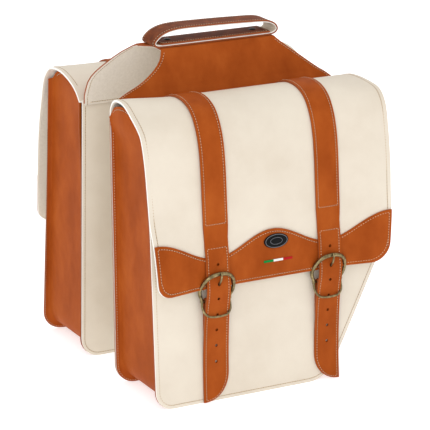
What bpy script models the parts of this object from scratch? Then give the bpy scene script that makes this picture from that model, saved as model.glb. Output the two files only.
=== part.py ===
"""Double saddle bag for a bicycle carrier: two leather bags joined by a saddle-shaped bridge.

Frame: +X along the bags, towards the heel cut-outs; +Y from the right bag to the left bag;
+Z up. The origin is the centre of the footprint, on the floor under the bags.
Across a bag, u is the distance outwards from the inner face of its back panel.
"""
import math

import bmesh
import bpy
from mathutils import Matrix, Vector

MM = 0.001
GAP = 0.3 * MM                  # clearance between pieces that touch

# Bags
HALF_WIDTH = 175 * MM           # half of a bag's width along X
HALF_GAP = 52 * MM              # from the middle plane to a back panel
DEPTH = 128 * MM                # bag depth at the floor
TAPER = 0.064                   # how much depth is lost for each unit of height
SEAM_Z = 372 * MM               # top edge of the back panel, where flap and bridge are sewn
FLANGE = 3 * MM                 # how far the sewn rear rim stands out of the sides
SOLE = 0.4 * MM                 # how far it stands out below the bag's bottom
BACK_T = 2.4 * MM
BOARD_T = 3.2 * MM
BOARD_TOP = 352 * MM
GUSSET_T = 2.2 * MM
FRONT_T = 2.4 * MM
MOUTH_TOP = 350 * MM            # top edge of the front panel, under the flap
HEEL_X = 86 * MM                # where the heel cut starts on the bottom edge
HEEL_Z = 169 * MM               # where it ends on the front edge
CORNER_R = 25 * MM              # radius of the bottom rear corner
HEEL_R = 45 * MM                # radius at both ends of the heel cut

# Flap: outline (u, z) of its outer surface at the straps, from the seam to the hem
FLAP_OUTLINE = [(1.2, 372.6), (7, 388), (20, 400), (45, 405.5), (70, 404), (90, 394), (104, 375),
                (113, 350), (118, 318), (124, 250), (129.5, 163)]
FOLD_INDEX = 2                  # the outline point where the flap folds open
FOLD_GAP = 1.1 * MM             # room left on each side of the fold
FLAP_LEATHER = 2.4 * MM
FLAP_LINING = 1.2 * MM
FLAP_TOP_HALF = 179 * MM        # half width at the fold
FLAP_HEM_HALF = 175.5 * MM      # half width at the hem
HEM_CORNER = 14 * MM            # radius of the flap's lower corners
# How far the hem stands off beyond the straps' line, in mm at places across the flap
HEM_FLARE = [(0, 4), (67, 0), (105, 0), (140, 6), (179, 13)]
FLARE_TOP = 320 * MM            # height where that flare has died out
HEM_T = 1.8 * MM
HEM_GAP = 0.8 * MM              # the padded seam under the hem band
HEM_TOP = 217 * MM              # mean height of the hem band's wavy top edge
HEM_WAVE = 14 * MM

# Straps and buckles
STRAP_X = 86 * MM
STRAP_W = 37 * MM
STRAP_T = 2.8 * MM
STRAP_END_Z = 232 * MM          # where the sewn strap ends and the free tail begins
TAIL_OUTLINE = [(125.5, 231), (127, 217), (130.3, 204), (130.9, 190), (131.9, 184),
                (133.2, 176), (134.6, 168), (134.8, 160), (133.8, 152), (132.3, 145), (131.4, 138),
                (130, 128), (128.2, 114), (127.2, 97), (126.4, 78), (126.2, 55), (127, 28),
                (128.5, 4)]
HOLE_D = 4 * MM
HOLE_Z = [193, 146, 125, 104, 81, 58.5]
PRONG_HOLE_Z = 167 * MM
BAR_U, BAR_Z = 127 * MM, 145 * MM
BAR_R = 2 * MM
CHAPE_T = 1.7 * MM
CHAPE_W = 35 * MM
ARC_R = 2.5 * MM
LOOP_R = 1.5 * MM
PRONG_R = 1.3 * MM

# Bridge and handle
BRIDGE_TOP = 454 * MM
BRIDGE_TOP_HALF_Y = 20 * MM
BRIDGE_T = 2.2 * MM
BRIDGE_LINING_T = 1.2 * MM
HANDLE_W = 37 * MM
HANDLE_T = 1.8 * MM
HANDLE_LINING_T = 1.2 * MM
BASE_STRIP_T = 2.2 * MM
BASE_STRIP_HALF = 82 * MM
STUD_X = 66 * MM

COLOURS = {
    "cream leather": ((0.83, 0.76, 0.64), 0.55, 0.0),
    "tan leather": ((0.42, 0.10, 0.02), 0.5, 0.0),
    "black board": ((0.01, 0.01, 0.012), 0.6, 0.0),
    "grey textile": ((0.62, 0.55, 0.46), 0.9, 0.0),
    "old brass": ((0.25, 0.19, 0.09), 0.35, 1.0),
    "black enamel": ((0.008, 0.008, 0.01), 0.2, 0.0),
    "woven ribbon": ((0.75, 0.72, 0.66), 0.8, 0.0),
}

parts = bpy.data.collections.new("saddle_bag")
cutters = bpy.data.collections.new("cutters")


# ---------------------------------------------------------------- plain helpers

def clear_scene():
    for item in list(bpy.data.objects):
        bpy.data.objects.remove(item, do_unlink=True)
    bpy.context.scene.collection.children.link(parts)
    bpy.context.scene.collection.children.link(cutters)


def finish_material(name, kind):
    colour, roughness, metallic = COLOURS[kind]
    material = bpy.data.materials.new(name + " " + kind)
    material.use_nodes = True
    shader = material.node_tree.nodes["Principled BSDF"]
    shader.inputs["Base Color"].default_value = (*colour, 1)
    shader.inputs["Roughness"].default_value = roughness
    shader.inputs["Metallic"].default_value = metallic
    material.diffuse_color = (*colour, 1)
    return material


def add_node(name, data, kind, pivot=None):
    """Link a part; with a pivot its origin moves to that point and its shape stays in place."""
    thing = bpy.data.objects.new(name, data)
    parts.objects.link(thing)
    data.materials.append(finish_material(name, kind))
    if pivot is not None:
        data.transform(Matrix.Translation(-Vector(pivot)))
        thing.location = pivot
    return thing


def mesh_from(bm, name):
    mesh = bpy.data.meshes.new(name)
    bm.to_mesh(mesh)
    bm.free()
    return mesh


def to_metres(outline):
    return [(a * MM, b * MM) for a, b in outline]


def smooth_path(points, per_span=4):
    """Points on a Catmull-Rom curve through the given points."""
    ends = [2 * Vector(points[0]) - Vector(points[1]), 2 * Vector(points[-1]) - Vector(points[-2])]
    knots = [ends[0]] + [Vector(p) for p in points] + [ends[1]]
    result = []
    for i in range(1, len(knots) - 2):
        a, b, c, d = knots[i - 1:i + 3]
        for step in range(per_span):
            t = step / per_span
            result.append(0.5 * (2 * b + (c - a) * t + (2 * a - 5 * b + 4 * c - d) * t * t
                                 + (3 * b - a - 3 * c + d) * t ** 3))
    return result + [knots[-2]]


def rounded_path(corners, radii, steps=4, closed=False):
    """A polyline whose corners are replaced by arcs of the given radii."""
    count = len(corners)
    result = []
    for i, (corner, radius) in enumerate(zip(corners, radii)):
        corner = Vector(corner)
        if radius == 0 or (not closed and i in (0, count - 1)):
            result.append(corner)
            continue
        before = (Vector(corners[i - 1]) - corner).normalized()
        after = (Vector(corners[(i + 1) % count]) - corner).normalized()
        half = before.angle(after) / 2
        reach = radius / math.tan(half)
        centre = corner + (before + after).normalized() * radius / math.sin(half)
        start = corner + before * reach - centre
        turn = math.pi - 2 * half
        if before.x * after.y - before.y * after.x > 0:
            turn = -turn
        for k in range(steps + 1):
            a = turn * k / steps
            result.append(centre + Vector((start.x * math.cos(a) - start.y * math.sin(a),
                                           start.x * math.sin(a) + start.y * math.cos(a))))
    return result


class Path:
    """A polyline in a plane, read by its length, with an offset to its left side."""

    def __init__(self, points):
        self.points = [Vector(p) for p in points]
        self.lengths = [0.0]
        for a, b in zip(self.points, self.points[1:]):
            self.lengths.append(self.lengths[-1] + (b - a).length)
        self.total = self.lengths[-1]

    def normal(self, i):
        """The mitred normal at a point: an offset along it keeps the sheet's thickness."""
        here = self.points[i]
        before = (here - self.points[i - 1]).normalized() if i else None
        after = (self.points[i + 1] - here).normalized() if i < len(self.points) - 1 else None
        before, after = before or after, after or before
        d = (before + after).normalized()
        return Vector((-d.y, d.x)) / d.dot(after)

    def at(self, s, offset=0.0):
        s = min(max(s, 0.0), self.total)
        i = 0
        while i < len(self.points) - 2 and self.lengths[i + 1] < s:
            i += 1
        t = (s - self.lengths[i]) / (self.lengths[i + 1] - self.lengths[i])
        spot = self.points[i].lerp(self.points[i + 1], t)
        return spot + self.normal(i).lerp(self.normal(i + 1), t) * offset

    def length_at_height(self, z):
        """The last place on the path, read from its start, that is above z."""
        for i in range(len(self.points) - 1, 0, -1):
            low, high = self.points[i].y, self.points[i - 1].y
            if low <= z < high:
                return self.lengths[i - 1] + (high - z) / (high - low) * (
                    self.lengths[i] - self.lengths[i - 1])
        return self.total


def sheet_mesh(name, rows, columns, place, outward, closed=False):
    """A curved sheet: a grid moved into place by its indices, facing outwards."""
    bm = bmesh.new()
    bmesh.ops.create_grid(bm, x_segments=columns - 1, y_segments=rows - 1, size=0.5)
    for vert in bm.verts:
        column = round((vert.co.x + 0.5) * (columns - 1))
        row = round((vert.co.y + 0.5) * (rows - 1))
        vert.co = place(row, column)
    if closed:
        bmesh.ops.remove_doubles(bm, verts=bm.verts, dist=0.01 * MM)
    bm.normal_update()
    middle = min(bm.faces, key=lambda f: (f.calc_center_median() - place(rows // 2, columns // 2)).length)
    if middle.normal.dot(outward) < 0:
        bmesh.ops.reverse_faces(bm, faces=bm.faces)
    return mesh_from(bm, name)


def add_sheet(name, kind, rows, columns, place, thickness, outward, pivot=None, closed=False):
    """The grid is the sheet's outer face; its thickness goes inwards."""
    mesh = sheet_mesh(name, rows, columns, place, Vector(outward), closed)
    thing = add_node(name, mesh, kind, pivot)
    solid = thing.modifiers.new("thickness", "SOLIDIFY")
    solid.thickness = thickness
    solid.offset = -1
    solid.use_even_offset = True
    return thing


def add_plate(name, kind, outline, thickness, frame_matrix, pivot=None):
    """A flat board cut to an outline, lying in the plane of frame_matrix's X and Y."""
    curve = bpy.data.curves.new(name, "CURVE")
    curve.dimensions = "2D"
    curve.fill_mode = "BOTH"
    curve.extrude = thickness / 2
    spline = curve.splines.new("POLY")
    spline.points.add(len(outline) - 1)
    for point, (x, y) in zip(spline.points, outline):
        point.co = (x, y, 0, 1)
    spline.use_cyclic_u = True
    holder = bpy.data.objects.new(name, curve)
    parts.objects.link(holder)
    mesh = evaluated_mesh(holder)
    mesh.transform(frame_matrix)
    bpy.data.objects.remove(holder, do_unlink=True)
    return add_node(name, mesh, kind, pivot)


def evaluated_mesh(thing):
    """The mesh of a curve, with its caps welded."""
    graph = bpy.context.evaluated_depsgraph_get()
    mesh = bpy.data.meshes.new_from_object(thing.evaluated_get(graph))
    mesh.transform(thing.matrix_world)
    bm = bmesh.new()
    bm.from_mesh(mesh)
    bmesh.ops.remove_doubles(bm, verts=bm.verts, dist=0.01 * MM)
    bmesh.ops.recalc_face_normals(bm, faces=bm.faces)
    bm.to_mesh(mesh)
    bm.free()
    mesh.materials.clear()
    return mesh


def tube_mesh(name, points, radius, cyclic=False):
    curve = bpy.data.curves.new(name, "CURVE")
    curve.dimensions = "3D"
    curve.bevel_depth = radius
    curve.bevel_resolution = 1
    curve.use_fill_caps = not cyclic
    spline = curve.splines.new("POLY")
    spline.points.add(len(points) - 1)
    for point, spot in zip(spline.points, points):
        point.co = (*spot, 1)
    spline.use_cyclic_u = cyclic
    holder = bpy.data.objects.new(name, curve)
    parts.objects.link(holder)
    mesh = evaluated_mesh(holder)
    bpy.data.objects.remove(holder, do_unlink=True)
    return mesh


def rod_mesh(name, centre, radius, length, axis, sides=16):
    bm = bmesh.new()
    turn = Vector((0, 0, 1)).rotation_difference(Vector(axis)).to_matrix().to_4x4()
    bmesh.ops.create_cone(bm, cap_ends=True, segments=sides, radius1=radius, radius2=radius,
                          depth=length, matrix=Matrix.Translation(centre) @ turn)
    return mesh_from(bm, name)


def add_boolean(thing, mesh, operation):
    tool = bpy.data.objects.new(thing.name + "_" + operation.lower(), mesh)
    cutters.objects.link(tool)
    tool.hide_render = True
    tool.display_type = "WIRE"
    modifier = thing.modifiers.new(operation.lower(), "BOOLEAN")
    modifier.object = tool
    modifier.operation = operation
    modifier.solver = "EXACT"


def smoothstep(a, b, value):
    t = min(max((value - a) / (b - a), 0.0), 1.0)
    return t * t * (3 - 2 * t)


# ---------------------------------------------------------------- one bag

def front_u(z):
    """Outer face of the front panel."""
    return DEPTH - TAPER * z


def bag_outline(side_offset, bottom, top):
    """The bag's front view: (x, z) from the top rear corner, round the bottom, to the top."""
    run = Vector((HALF_WIDTH - HEEL_X, HEEL_Z)).normalized()
    out = Vector((run.y, -run.x))
    foot = Vector((HEEL_X, 0)) + out * side_offset
    low = foot + run * ((bottom - foot.y) / run.y)
    high = foot + run * ((HALF_WIDTH + side_offset - foot.x) / run.x)
    edge = HALF_WIDTH + side_offset
    corners = [(-edge, top), (-edge, bottom), low, high, (edge, top)]
    radii = [0, CORNER_R + side_offset, HEEL_R + side_offset, HEEL_R + side_offset, 0]
    return rounded_path(corners, radii)


class Bag:
    """One of the two bags. side is -1 for the right bag and +1 for the left bag."""

    def __init__(self, label, side):
        self.label = label
        self.side = side
        self.flap = Path(smooth_path(to_metres(FLAP_OUTLINE), 2))
        fold = to_metres(FLAP_OUTLINE)[FOLD_INDEX]
        self.fold_s = min(self.flap.lengths,
                          key=lambda s: (self.flap.at(s) - Vector(fold)).length)
        self.fold_pivot = self.spot(0, *self.flap.at(self.fold_s, GAP))
        self.seam_pivot = self.spot(0, -0.15 * MM, SEAM_Z + GAP)

    def name(self, piece):
        return self.label + "_" + piece

    def spot(self, x, u, z):
        return Vector((x, self.side * (HALF_GAP + u), z))

    def plate_frame(self, u, tilt=0.0):
        """Maps an (x, z) outline to the plane at u, leaning inwards by tilt."""
        stand = Matrix.Rotation(math.pi / 2 + self.side * tilt, 4, "X")
        return Matrix.Translation(self.spot(0, u, 0)) @ stand

    # Back, board, gusset and front

    def build_shell(self):
        back = bag_outline(FLANGE, 0, SEAM_Z)
        add_plate(self.name("back_panel"), "cream leather", back, BACK_T,
                  self.plate_frame(BACK_T / 2), self.seam_pivot)
        inset = GUSSET_T + 1.8 * MM
        board = bag_outline(-inset, SOLE + inset, BOARD_TOP)
        add_plate(self.name("stiffener_board"), "black board", board, BOARD_T,
                  self.plate_frame(BACK_T + GAP + BOARD_T / 2), self.seam_pivot)
        lean = math.atan(TAPER)
        top = MOUTH_TOP / math.cos(lean)
        middle = Matrix.Translation((0, 0, self.side * FRONT_T / 2))
        front = bag_outline(0, SOLE, top)
        add_plate(self.name("front_panel"), "cream leather", front, FRONT_T,
                  self.plate_frame(DEPTH, lean) @ middle, self.seam_pivot)
        self.build_gusset()

    def gusset_columns(self):
        """(side offset, u, top) of each column across the gusset, from rim to front edge."""
        rim = BACK_T + GAP + GUSSET_T
        columns = [(FLANGE, lambda z: rim, 364), (0, lambda z: rim, 366)]
        for share, top in ((0.1, 380), (0.24, 393), (0.45, 398), (0.7, 396), (0.87, 384)):
            columns.append((0, lambda z, share=share: rim + (self.gusset_front(z) - rim) * share, top))
        return columns + [(0, self.gusset_front, MOUTH_TOP / MM)]

    def gusset_front(self, z):
        return front_u(z) - FRONT_T * 1.01 - GAP

    def build_gusset(self):
        lines = []
        for offset, u, top in self.gusset_columns():
            outline = bag_outline(offset, 0 if offset else SOLE, top * MM)
            run = [outline[0], Vector((outline[0].x, 340 * MM))] + outline[1:-1]
            run += [Vector((outline[-1].x, 340 * MM)), outline[-1]]
            lines.append([(p.x, u(p.y), p.y) for p in run])

        def place(row, column):
            return self.spot(*lines[column][row])

        add_sheet(self.name("gusset"), "tan leather", len(lines[0]), len(lines), place,
                  GUSSET_T, (0, 0, -1), self.seam_pivot)

    # Flap with its lining and hem band

    def flare(self, x, z):
        """How far the flap stands off beyond the line that the straps hold."""
        low = 1 - smoothstep(FLAP_OUTLINE[-1][1] * MM, FLARE_TOP, z)
        for (x0, f0), (x1, f1) in zip(HEM_FLARE, HEM_FLARE[1:]):
            if abs(x) <= x1 * MM:
                return low * (f0 + (f1 - f0) * (abs(x) / MM - x0) / (x1 - x0)) * MM
        return low * HEM_FLARE[-1][1] * MM

    def flap_spot(self, x, s, offset=0.0):
        p = self.flap.at(s, offset)
        return self.spot(x, p.x + self.flare(x, p.y), p.y)

    def flap_stops(self):
        """Lengths of the flap outline's points: all of them on the arch, every second one below."""
        arch = FLARE_TOP + 60 * MM
        return [s for i, s in enumerate(self.flap.lengths) if i % 2 == 0 or self.flap.points[i].y > arch]

    def flap_half(self, s):
        t = (s - self.fold_s) / (self.flap.total - self.fold_s)
        return FLAP_TOP_HALF + (FLAP_HEM_HALF - FLAP_TOP_HALF) * max(t, 0)

    def hem_end(self, from_edge):
        """Length of the flap at a distance from its side edge, with rounded lower corners."""
        radius = HEM_CORNER
        cut = radius - math.sqrt(radius ** 2 - max(radius - from_edge, 0) ** 2)
        return self.flap.total - cut

    def flap_columns(self, half, extra=()):
        """Places across the flap: the flare's own places, more at the corners, and extra ones."""
        inner = [x * MM for x, flare in HEM_FLARE[:-1]] + list(extra)
        outer = [half - d * MM for d in (14, 6, 1.5, 0)]
        right = sorted(inner) + outer
        return [-x for x in reversed(right[1:])] + right

    def build_flap(self):
        root_rows = 4

        def place_root(row, column):
            s = (self.fold_s - FOLD_GAP) * row / (root_rows - 1)
            half = HALF_WIDTH + FLANGE + (FLAP_TOP_HALF - HALF_WIDTH - FLANGE) * row / (root_rows - 1)
            return self.flap_spot(half * (column * 2 / 4 - 1), s)

        add_sheet(self.name("flap_root"), "cream leather", root_rows, 5, place_root,
                  FLAP_LEATHER + GAP + FLAP_LINING, (0, self.side * 0.5, 1), self.seam_pivot)

        clear = self.flap.total - HEM_CORNER - 2 * MM
        stops = [self.fold_s + FOLD_GAP]
        stops += [s for s in self.flap_stops() if self.fold_s + 2 * MM < s < clear - 10 * MM] + [clear]
        count = len(self.flap_columns(FLAP_TOP_HALF))

        def flap_place(offset, trim=0.0):
            def place(row, column):
                s = stops[min(row, len(stops) - 1)]
                half = self.flap_half(s)
                x = self.flap_columns(half)[column]
                if row == len(stops):
                    s = self.hem_end(half - abs(x)) - trim
                return self.flap_spot(x * (1 - trim / half), s, offset)
            return place

        add_sheet(self.name("flap_cover"), "cream leather", len(stops) + 1, count,
                  flap_place(0.0), FLAP_LEATHER, (0, self.side, 0), self.fold_pivot)
        add_sheet(self.name("flap_lining"), "grey textile", len(stops) + 1, count,
                  flap_place(-FLAP_LEATHER - GAP, 1.5 * MM), FLAP_LINING, (0, self.side, 0),
                  self.fold_pivot)
        self.build_hem(clear)

    def hem_top(self, x):
        height = HEM_TOP + HEM_WAVE * math.cos(math.pi * x / STRAP_X)
        return self.flap.length_at_height(height)

    def build_hem(self, clear):
        waves = [x * MM for x in (16, 32, 48, 86, 122)]
        half = self.flap_half(self.flap.total)
        across = self.flap_columns(half, waves)
        rows = 4

        def place(row, column):
            x = across[column]
            high = self.hem_top(x)
            s = high + (clear - high) * row / (rows - 2)
            if row == rows - 1:
                s = self.hem_end(half - abs(x))
            return self.flap_spot(x, s, HEM_GAP + HEM_T)

        add_sheet(self.name("hem_band"), "tan leather", rows, len(across), place, HEM_T,
                  (0, self.side, 0), self.fold_pivot)

    # Straps

    def build_straps(self):
        for end, x in (("rear", -STRAP_X), ("front", STRAP_X)):
            self.build_strap(end, x)
            self.build_tail(end, x)
            self.build_chape(end, x)
            self.build_buckle(end, x)

    def build_strap(self, end, x):
        start = self.fold_s + 3 * MM
        stop = self.flap.length_at_height(STRAP_END_Z)
        stops = [start] + [s for s in self.flap_stops() if start + 2 * MM < s < stop - 4 * MM] + [stop]

        def place(row, column):
            return self.flap_spot(x + STRAP_W * (column - 0.5), stops[row], GAP + STRAP_T)

        add_sheet(self.name(end + "_strap"), "tan leather", len(stops), 2, place, STRAP_T,
                  (0, self.side, 0), self.fold_pivot)

    def build_tail(self, end, x):
        inner = Path(smooth_path(to_metres(TAIL_OUTLINE), 2))
        outward = 1 if x > 0 else -1
        columns = 5
        bends = 17
        tip = 38 * MM

        def place(row, column):
            across = column / (columns - 1)
            # The end is cut to a quarter round that runs to the tail's outer edge.
            rounding = across if outward > 0 else 1 - across
            cut = tip * (1 - math.sqrt(max(1 - (1 - rounding) ** 2, 0)))
            body = inner.total - tip - 2 * MM
            s = body * row / bends if row <= bends else inner.total - cut * 0.98
            p = inner.at(s, STRAP_T)
            return self.spot(x + STRAP_W * (across - 0.5), p.x, p.y)

        tail = add_sheet(self.name(end + "_strap_tail"), "tan leather", bends + 2, columns, place,
                         STRAP_T, (0, self.side, 0), self.fold_pivot)
        for z in HOLE_Z:
            s = inner.length_at_height(z * MM)
            p = inner.at(s, STRAP_T / 2)
            add_boolean(tail, rod_mesh("punch", self.spot(x, p.x, p.y), HOLE_D / 2, 4 * STRAP_T,
                                       (0, 1, 0), 8), "DIFFERENCE")
        slot = bmesh.new()
        bmesh.ops.create_cube(slot, size=1)
        bmesh.ops.scale(slot, vec=(4.4 * MM, 12 * MM, 16 * MM), verts=slot.verts)
        bmesh.ops.translate(slot, vec=self.spot(x, 136.4 * MM, PRONG_HOLE_Z), verts=slot.verts)
        add_boolean(tail, mesh_from(slot, "slot"), "DIFFERENCE")

    def build_chape(self, end, x):
        """The sewn tab that holds the buckle: it runs up the panel, round the bar and back."""
        loop = BAR_R + GAP + CHAPE_T
        foot = 97 * MM
        back = front_u(foot) + GAP
        bend = [Vector((BAR_U + loop * math.cos(a), BAR_Z + loop * math.sin(a)))
                for a in [math.radians(180 - 22.5 * k) for k in range(9)]]
        wall = CHAPE_T * 2 + GAP
        outer = [Vector((back, foot)), Vector((front_u(118 * MM) + GAP, 118 * MM)),
                 Vector((front_u(130 * MM) + 2 * MM, 131 * MM))] + bend
        outer += [Vector((front_u(118 * MM) + wall + 2.2 * MM, 127 * MM)),
                  Vector((front_u(112 * MM) + wall + GAP, 112 * MM)),
                  Vector((back + wall, foot))]

        def place(row, column):
            p = outer[row]
            return self.spot(x + CHAPE_W * (column - 0.5), p.x, p.y)

        chape = add_sheet(self.name(end + "_chape"), "tan leather", len(outer), 2, place,
                          CHAPE_T, (0, 0, 1), self.seam_pivot)
        mouth = bmesh.new()
        bmesh.ops.create_cube(mouth, size=1)
        bmesh.ops.scale(mouth, vec=(6 * MM, 16 * MM, 17 * MM), verts=mouth.verts)
        bmesh.ops.translate(mouth, vec=self.spot(x, BAR_U, BAR_Z + 1 * MM), verts=mouth.verts)
        add_boolean(chape, mesh_from(mouth, "mouth"), "DIFFERENCE")

    def build_buckle(self, end, x):
        pivot = self.spot(x, BAR_U, BAR_Z)
        half = 22.6 * MM
        arc = [(math.cos(a), math.sin(a)) for a in [math.pi * k / 10 for k in range(11)]]
        rise = 13 * MM

        def arc_u(z):
            return BAR_U + 12.3 * MM * smoothstep(BAR_Z - 6 * MM, BAR_Z + 30 * MM, z)

        upper = [(half, BAR_Z)] + [(half + 1.6 * MM, BAR_Z + 6 * MM)]
        upper += [(24.2 * MM * c, BAR_Z + rise + 26 * MM * s) for c, s in arc]
        upper += [(-half - 1.6 * MM, BAR_Z + 6 * MM), (-half, BAR_Z)]
        lower = rounded_path([(half, BAR_Z), (20.6 * MM, BAR_Z - 21.5 * MM),
                              (-20.6 * MM, BAR_Z - 21.5 * MM), (-half, BAR_Z)], [0, 8 * MM, 8 * MM, 0], 3)

        def loop_u(z):
            return BAR_U + 8 * MM * (1 - smoothstep(BAR_Z - 17 * MM, BAR_Z + 3 * MM, z))

        bar = rod_mesh("bar", self.spot(x, BAR_U, BAR_Z), BAR_R, 2 * half, (1, 0, 0), 12)
        frame = add_node(self.name(end + "_buckle_frame"), bar, "old brass", pivot)
        add_boolean(frame, tube_mesh("arc", [self.spot(x + a, arc_u(z), z) for a, z in upper], ARC_R),
                    "UNION")
        add_boolean(frame, tube_mesh("loop", [self.spot(x + p[0], loop_u(p[1]), p[1]) for p in lower],
                                     LOOP_R), "UNION")
        for way in (-1, 1):
            add_boolean(frame, rod_mesh("knuckle", self.spot(x + way * half, BAR_U, BAR_Z), 3.4 * MM,
                                        5 * MM, (1, 0, 0), 12), "UNION")

        ring_r = BAR_R + GAP + PRONG_R
        ring = [self.spot(x, BAR_U + ring_r * math.cos(a), BAR_Z + ring_r * math.sin(a))
                for a in [2 * math.pi * k / 10 for k in range(10)]]
        pin = [(128.6, 148.2), (131.9, 157), (133.8, 163), (135.2, 167), (139.8, 173.4),
               (142.6, 177.5), (143.4, 182), (143.4, 188)]
        prong = add_node(self.name(end + "_buckle_prong"), tube_mesh("ring", ring, PRONG_R, True),
                         "old brass", pivot)
        add_boolean(prong, tube_mesh("pin", [self.spot(x, u * MM, z * MM) for u, z in pin], PRONG_R),
                    "UNION")

    def build_trim(self):
        """The oval badge and the woven ribbon on the hem band."""
        oval = [(18.4 * MM * math.cos(a), 9.8 * MM * math.sin(a))
                for a in [2 * math.pi * k / 24 for k in range(24)]]
        ribbon = [(-22 * MM, -2.1 * MM), (22 * MM, -2.1 * MM), (22 * MM, 2.1 * MM), (-22 * MM, 2.1 * MM)]
        for piece, kind, outline, x, z, thick in (
                ("badge", "black enamel", oval, 4 * MM, 214 * MM, 2.4 * MM),
                ("woven_label", "woven ribbon", ribbon, 7 * MM, 187 * MM, 0.8 * MM)):
            s = self.flap.length_at_height(z)
            a = self.flap_spot(x, s + 5 * MM, HEM_GAP + HEM_T)
            b = self.flap_spot(x, s - 5 * MM, HEM_GAP + HEM_T)
            lean = math.atan2(abs(a.y) - abs(b.y), b.z - a.z)
            face = self.flap_spot(x, s, HEM_GAP + HEM_T + 2 * GAP + thick / 2)
            stand = Matrix.Rotation(math.pi / 2 + self.side * lean, 4, "X")
            add_plate(self.name(piece), kind, outline, thick, Matrix.Translation(face) @ stand,
                      self.fold_pivot)


# ---------------------------------------------------------------- bridge and handle

def bridge_half_width(z):
    """Half width of the bridge at a height: full at the seams, drawn in to the handle."""
    narrow = 84 * MM
    t = min(max((z - 392 * MM) / (BRIDGE_TOP - 392 * MM), 0), 1)
    ease = t - 0.11 * math.sin(2 * math.pi * t)
    return 170 * MM + (narrow - 170 * MM) * ease


def bridge_side():
    """(y, z) of the bridge's outer surface, from a seam to the middle of the top."""
    y = HALF_GAP - 1.2 * MM
    corners = [(y, SEAM_Z + 1.2 * MM), (y - 3 * MM, 384 * MM), (41 * MM, 401 * MM),
               (BRIDGE_TOP_HALF_Y + 1.5 * MM, BRIDGE_TOP), (0, BRIDGE_TOP)]
    return rounded_path(corners, [0, 20 * MM, 30 * MM, 6 * MM, 0], 4)


def build_bridge():
    half = bridge_side()
    whole = [Vector((-p.x, p.y)) for p in half] + list(reversed(half[:-1]))
    path = Path(whole)
    columns = 5

    def bridge_place(offset, trim):
        def place(row, column):
            s = min(max(path.lengths[row], trim), path.total - trim)
            q = path.at(s, offset)
            width = bridge_half_width(path.at(s).y) - trim
            return Vector((width * (2 * column / (columns - 1) - 1), q.x, q.y))
        return place

    add_sheet("bridge_cover", "tan leather", len(whole), columns, bridge_place(0, 0), BRIDGE_T,
              (0, 0, 1))
    add_sheet("bridge_lining", "grey textile", len(whole), columns,
              bridge_place(-BRIDGE_T - GAP, 1 * MM), BRIDGE_LINING_T, (0, 0, 1))


def handle_loop(inset):
    """(x, z) outline of the handle band, anticlockwise, moved inwards by inset."""
    low = BRIDGE_TOP + GAP
    corners = [(0, low), (86 * MM, low), (99 * MM, 462 * MM), (91 * MM, 477 * MM),
               (60 * MM, 479.5 * MM), (0, 479.5 * MM), (-60 * MM, 479.5 * MM),
               (-91 * MM, 477 * MM), (-99 * MM, 462 * MM), (-86 * MM, low)]
    radii = [0, 9 * MM, 7 * MM, 9 * MM, 30 * MM, 0, 30 * MM, 9 * MM, 7 * MM, 9 * MM]
    ring = rounded_path(corners, radii, 2, closed=True)
    moved = []
    for i, p in enumerate(ring):
        d = (ring[(i + 1) % len(ring)] - ring[i - 1]).normalized()
        moved.append(p + Vector((-d.y, d.x)) * inset)
    return moved


def add_band(name, kind, inset, width, thickness):
    ring = handle_loop(inset)
    ring.append(ring[0])

    def place(row, column):
        p = ring[row]
        return Vector((p.x, width * (column - 0.5), p.y))

    pivot = (0, 0, BRIDGE_TOP)
    return add_sheet(name, kind, len(ring), 2, place, thickness, (0, 0, 1), pivot, closed=True)


def build_handle():
    add_band("handle_strap", "tan leather", 0, HANDLE_W, HANDLE_T)
    add_band("handle_lining", "cream leather", HANDLE_T + GAP, HANDLE_W - 1 * MM, HANDLE_LINING_T)
    base_z = BRIDGE_TOP + HANDLE_T + HANDLE_LINING_T + 3 * GAP
    strip = rounded_path([(-BASE_STRIP_HALF, -18 * MM), (BASE_STRIP_HALF, -18 * MM),
                          (BASE_STRIP_HALF, 18 * MM), (-BASE_STRIP_HALF, 18 * MM)],
                         [4 * MM] * 4, 3, closed=True)
    add_plate("base_strip", "tan leather", strip, BASE_STRIP_T,
              Matrix.Translation((0, 0, base_z + BASE_STRIP_T / 2)))
    stud_z = base_z + BASE_STRIP_T + GAP
    for name, x in (("rear_stud", -STUD_X), ("front_stud", STUD_X)):
        bm = bmesh.new()
        bmesh.ops.create_cone(bm, cap_ends=True, segments=16, radius1=4.5 * MM, radius2=3 * MM,
                              depth=2 * MM, matrix=Matrix.Translation((x, 0, stud_z + 1 * MM)))
        add_node(name, mesh_from(bm, name), "black enamel")


def main():
    clear_scene()
    build_bridge()
    build_handle()
    for label, side in (("right", -1), ("left", 1)):
        bag = Bag(label, side)
        bag.build_shell()
        bag.build_flap()
        bag.build_straps()
        if label == "right":
            bag.build_trim()


main()
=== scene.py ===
import math

import bpy
from mathutils import Matrix, Vector


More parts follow.
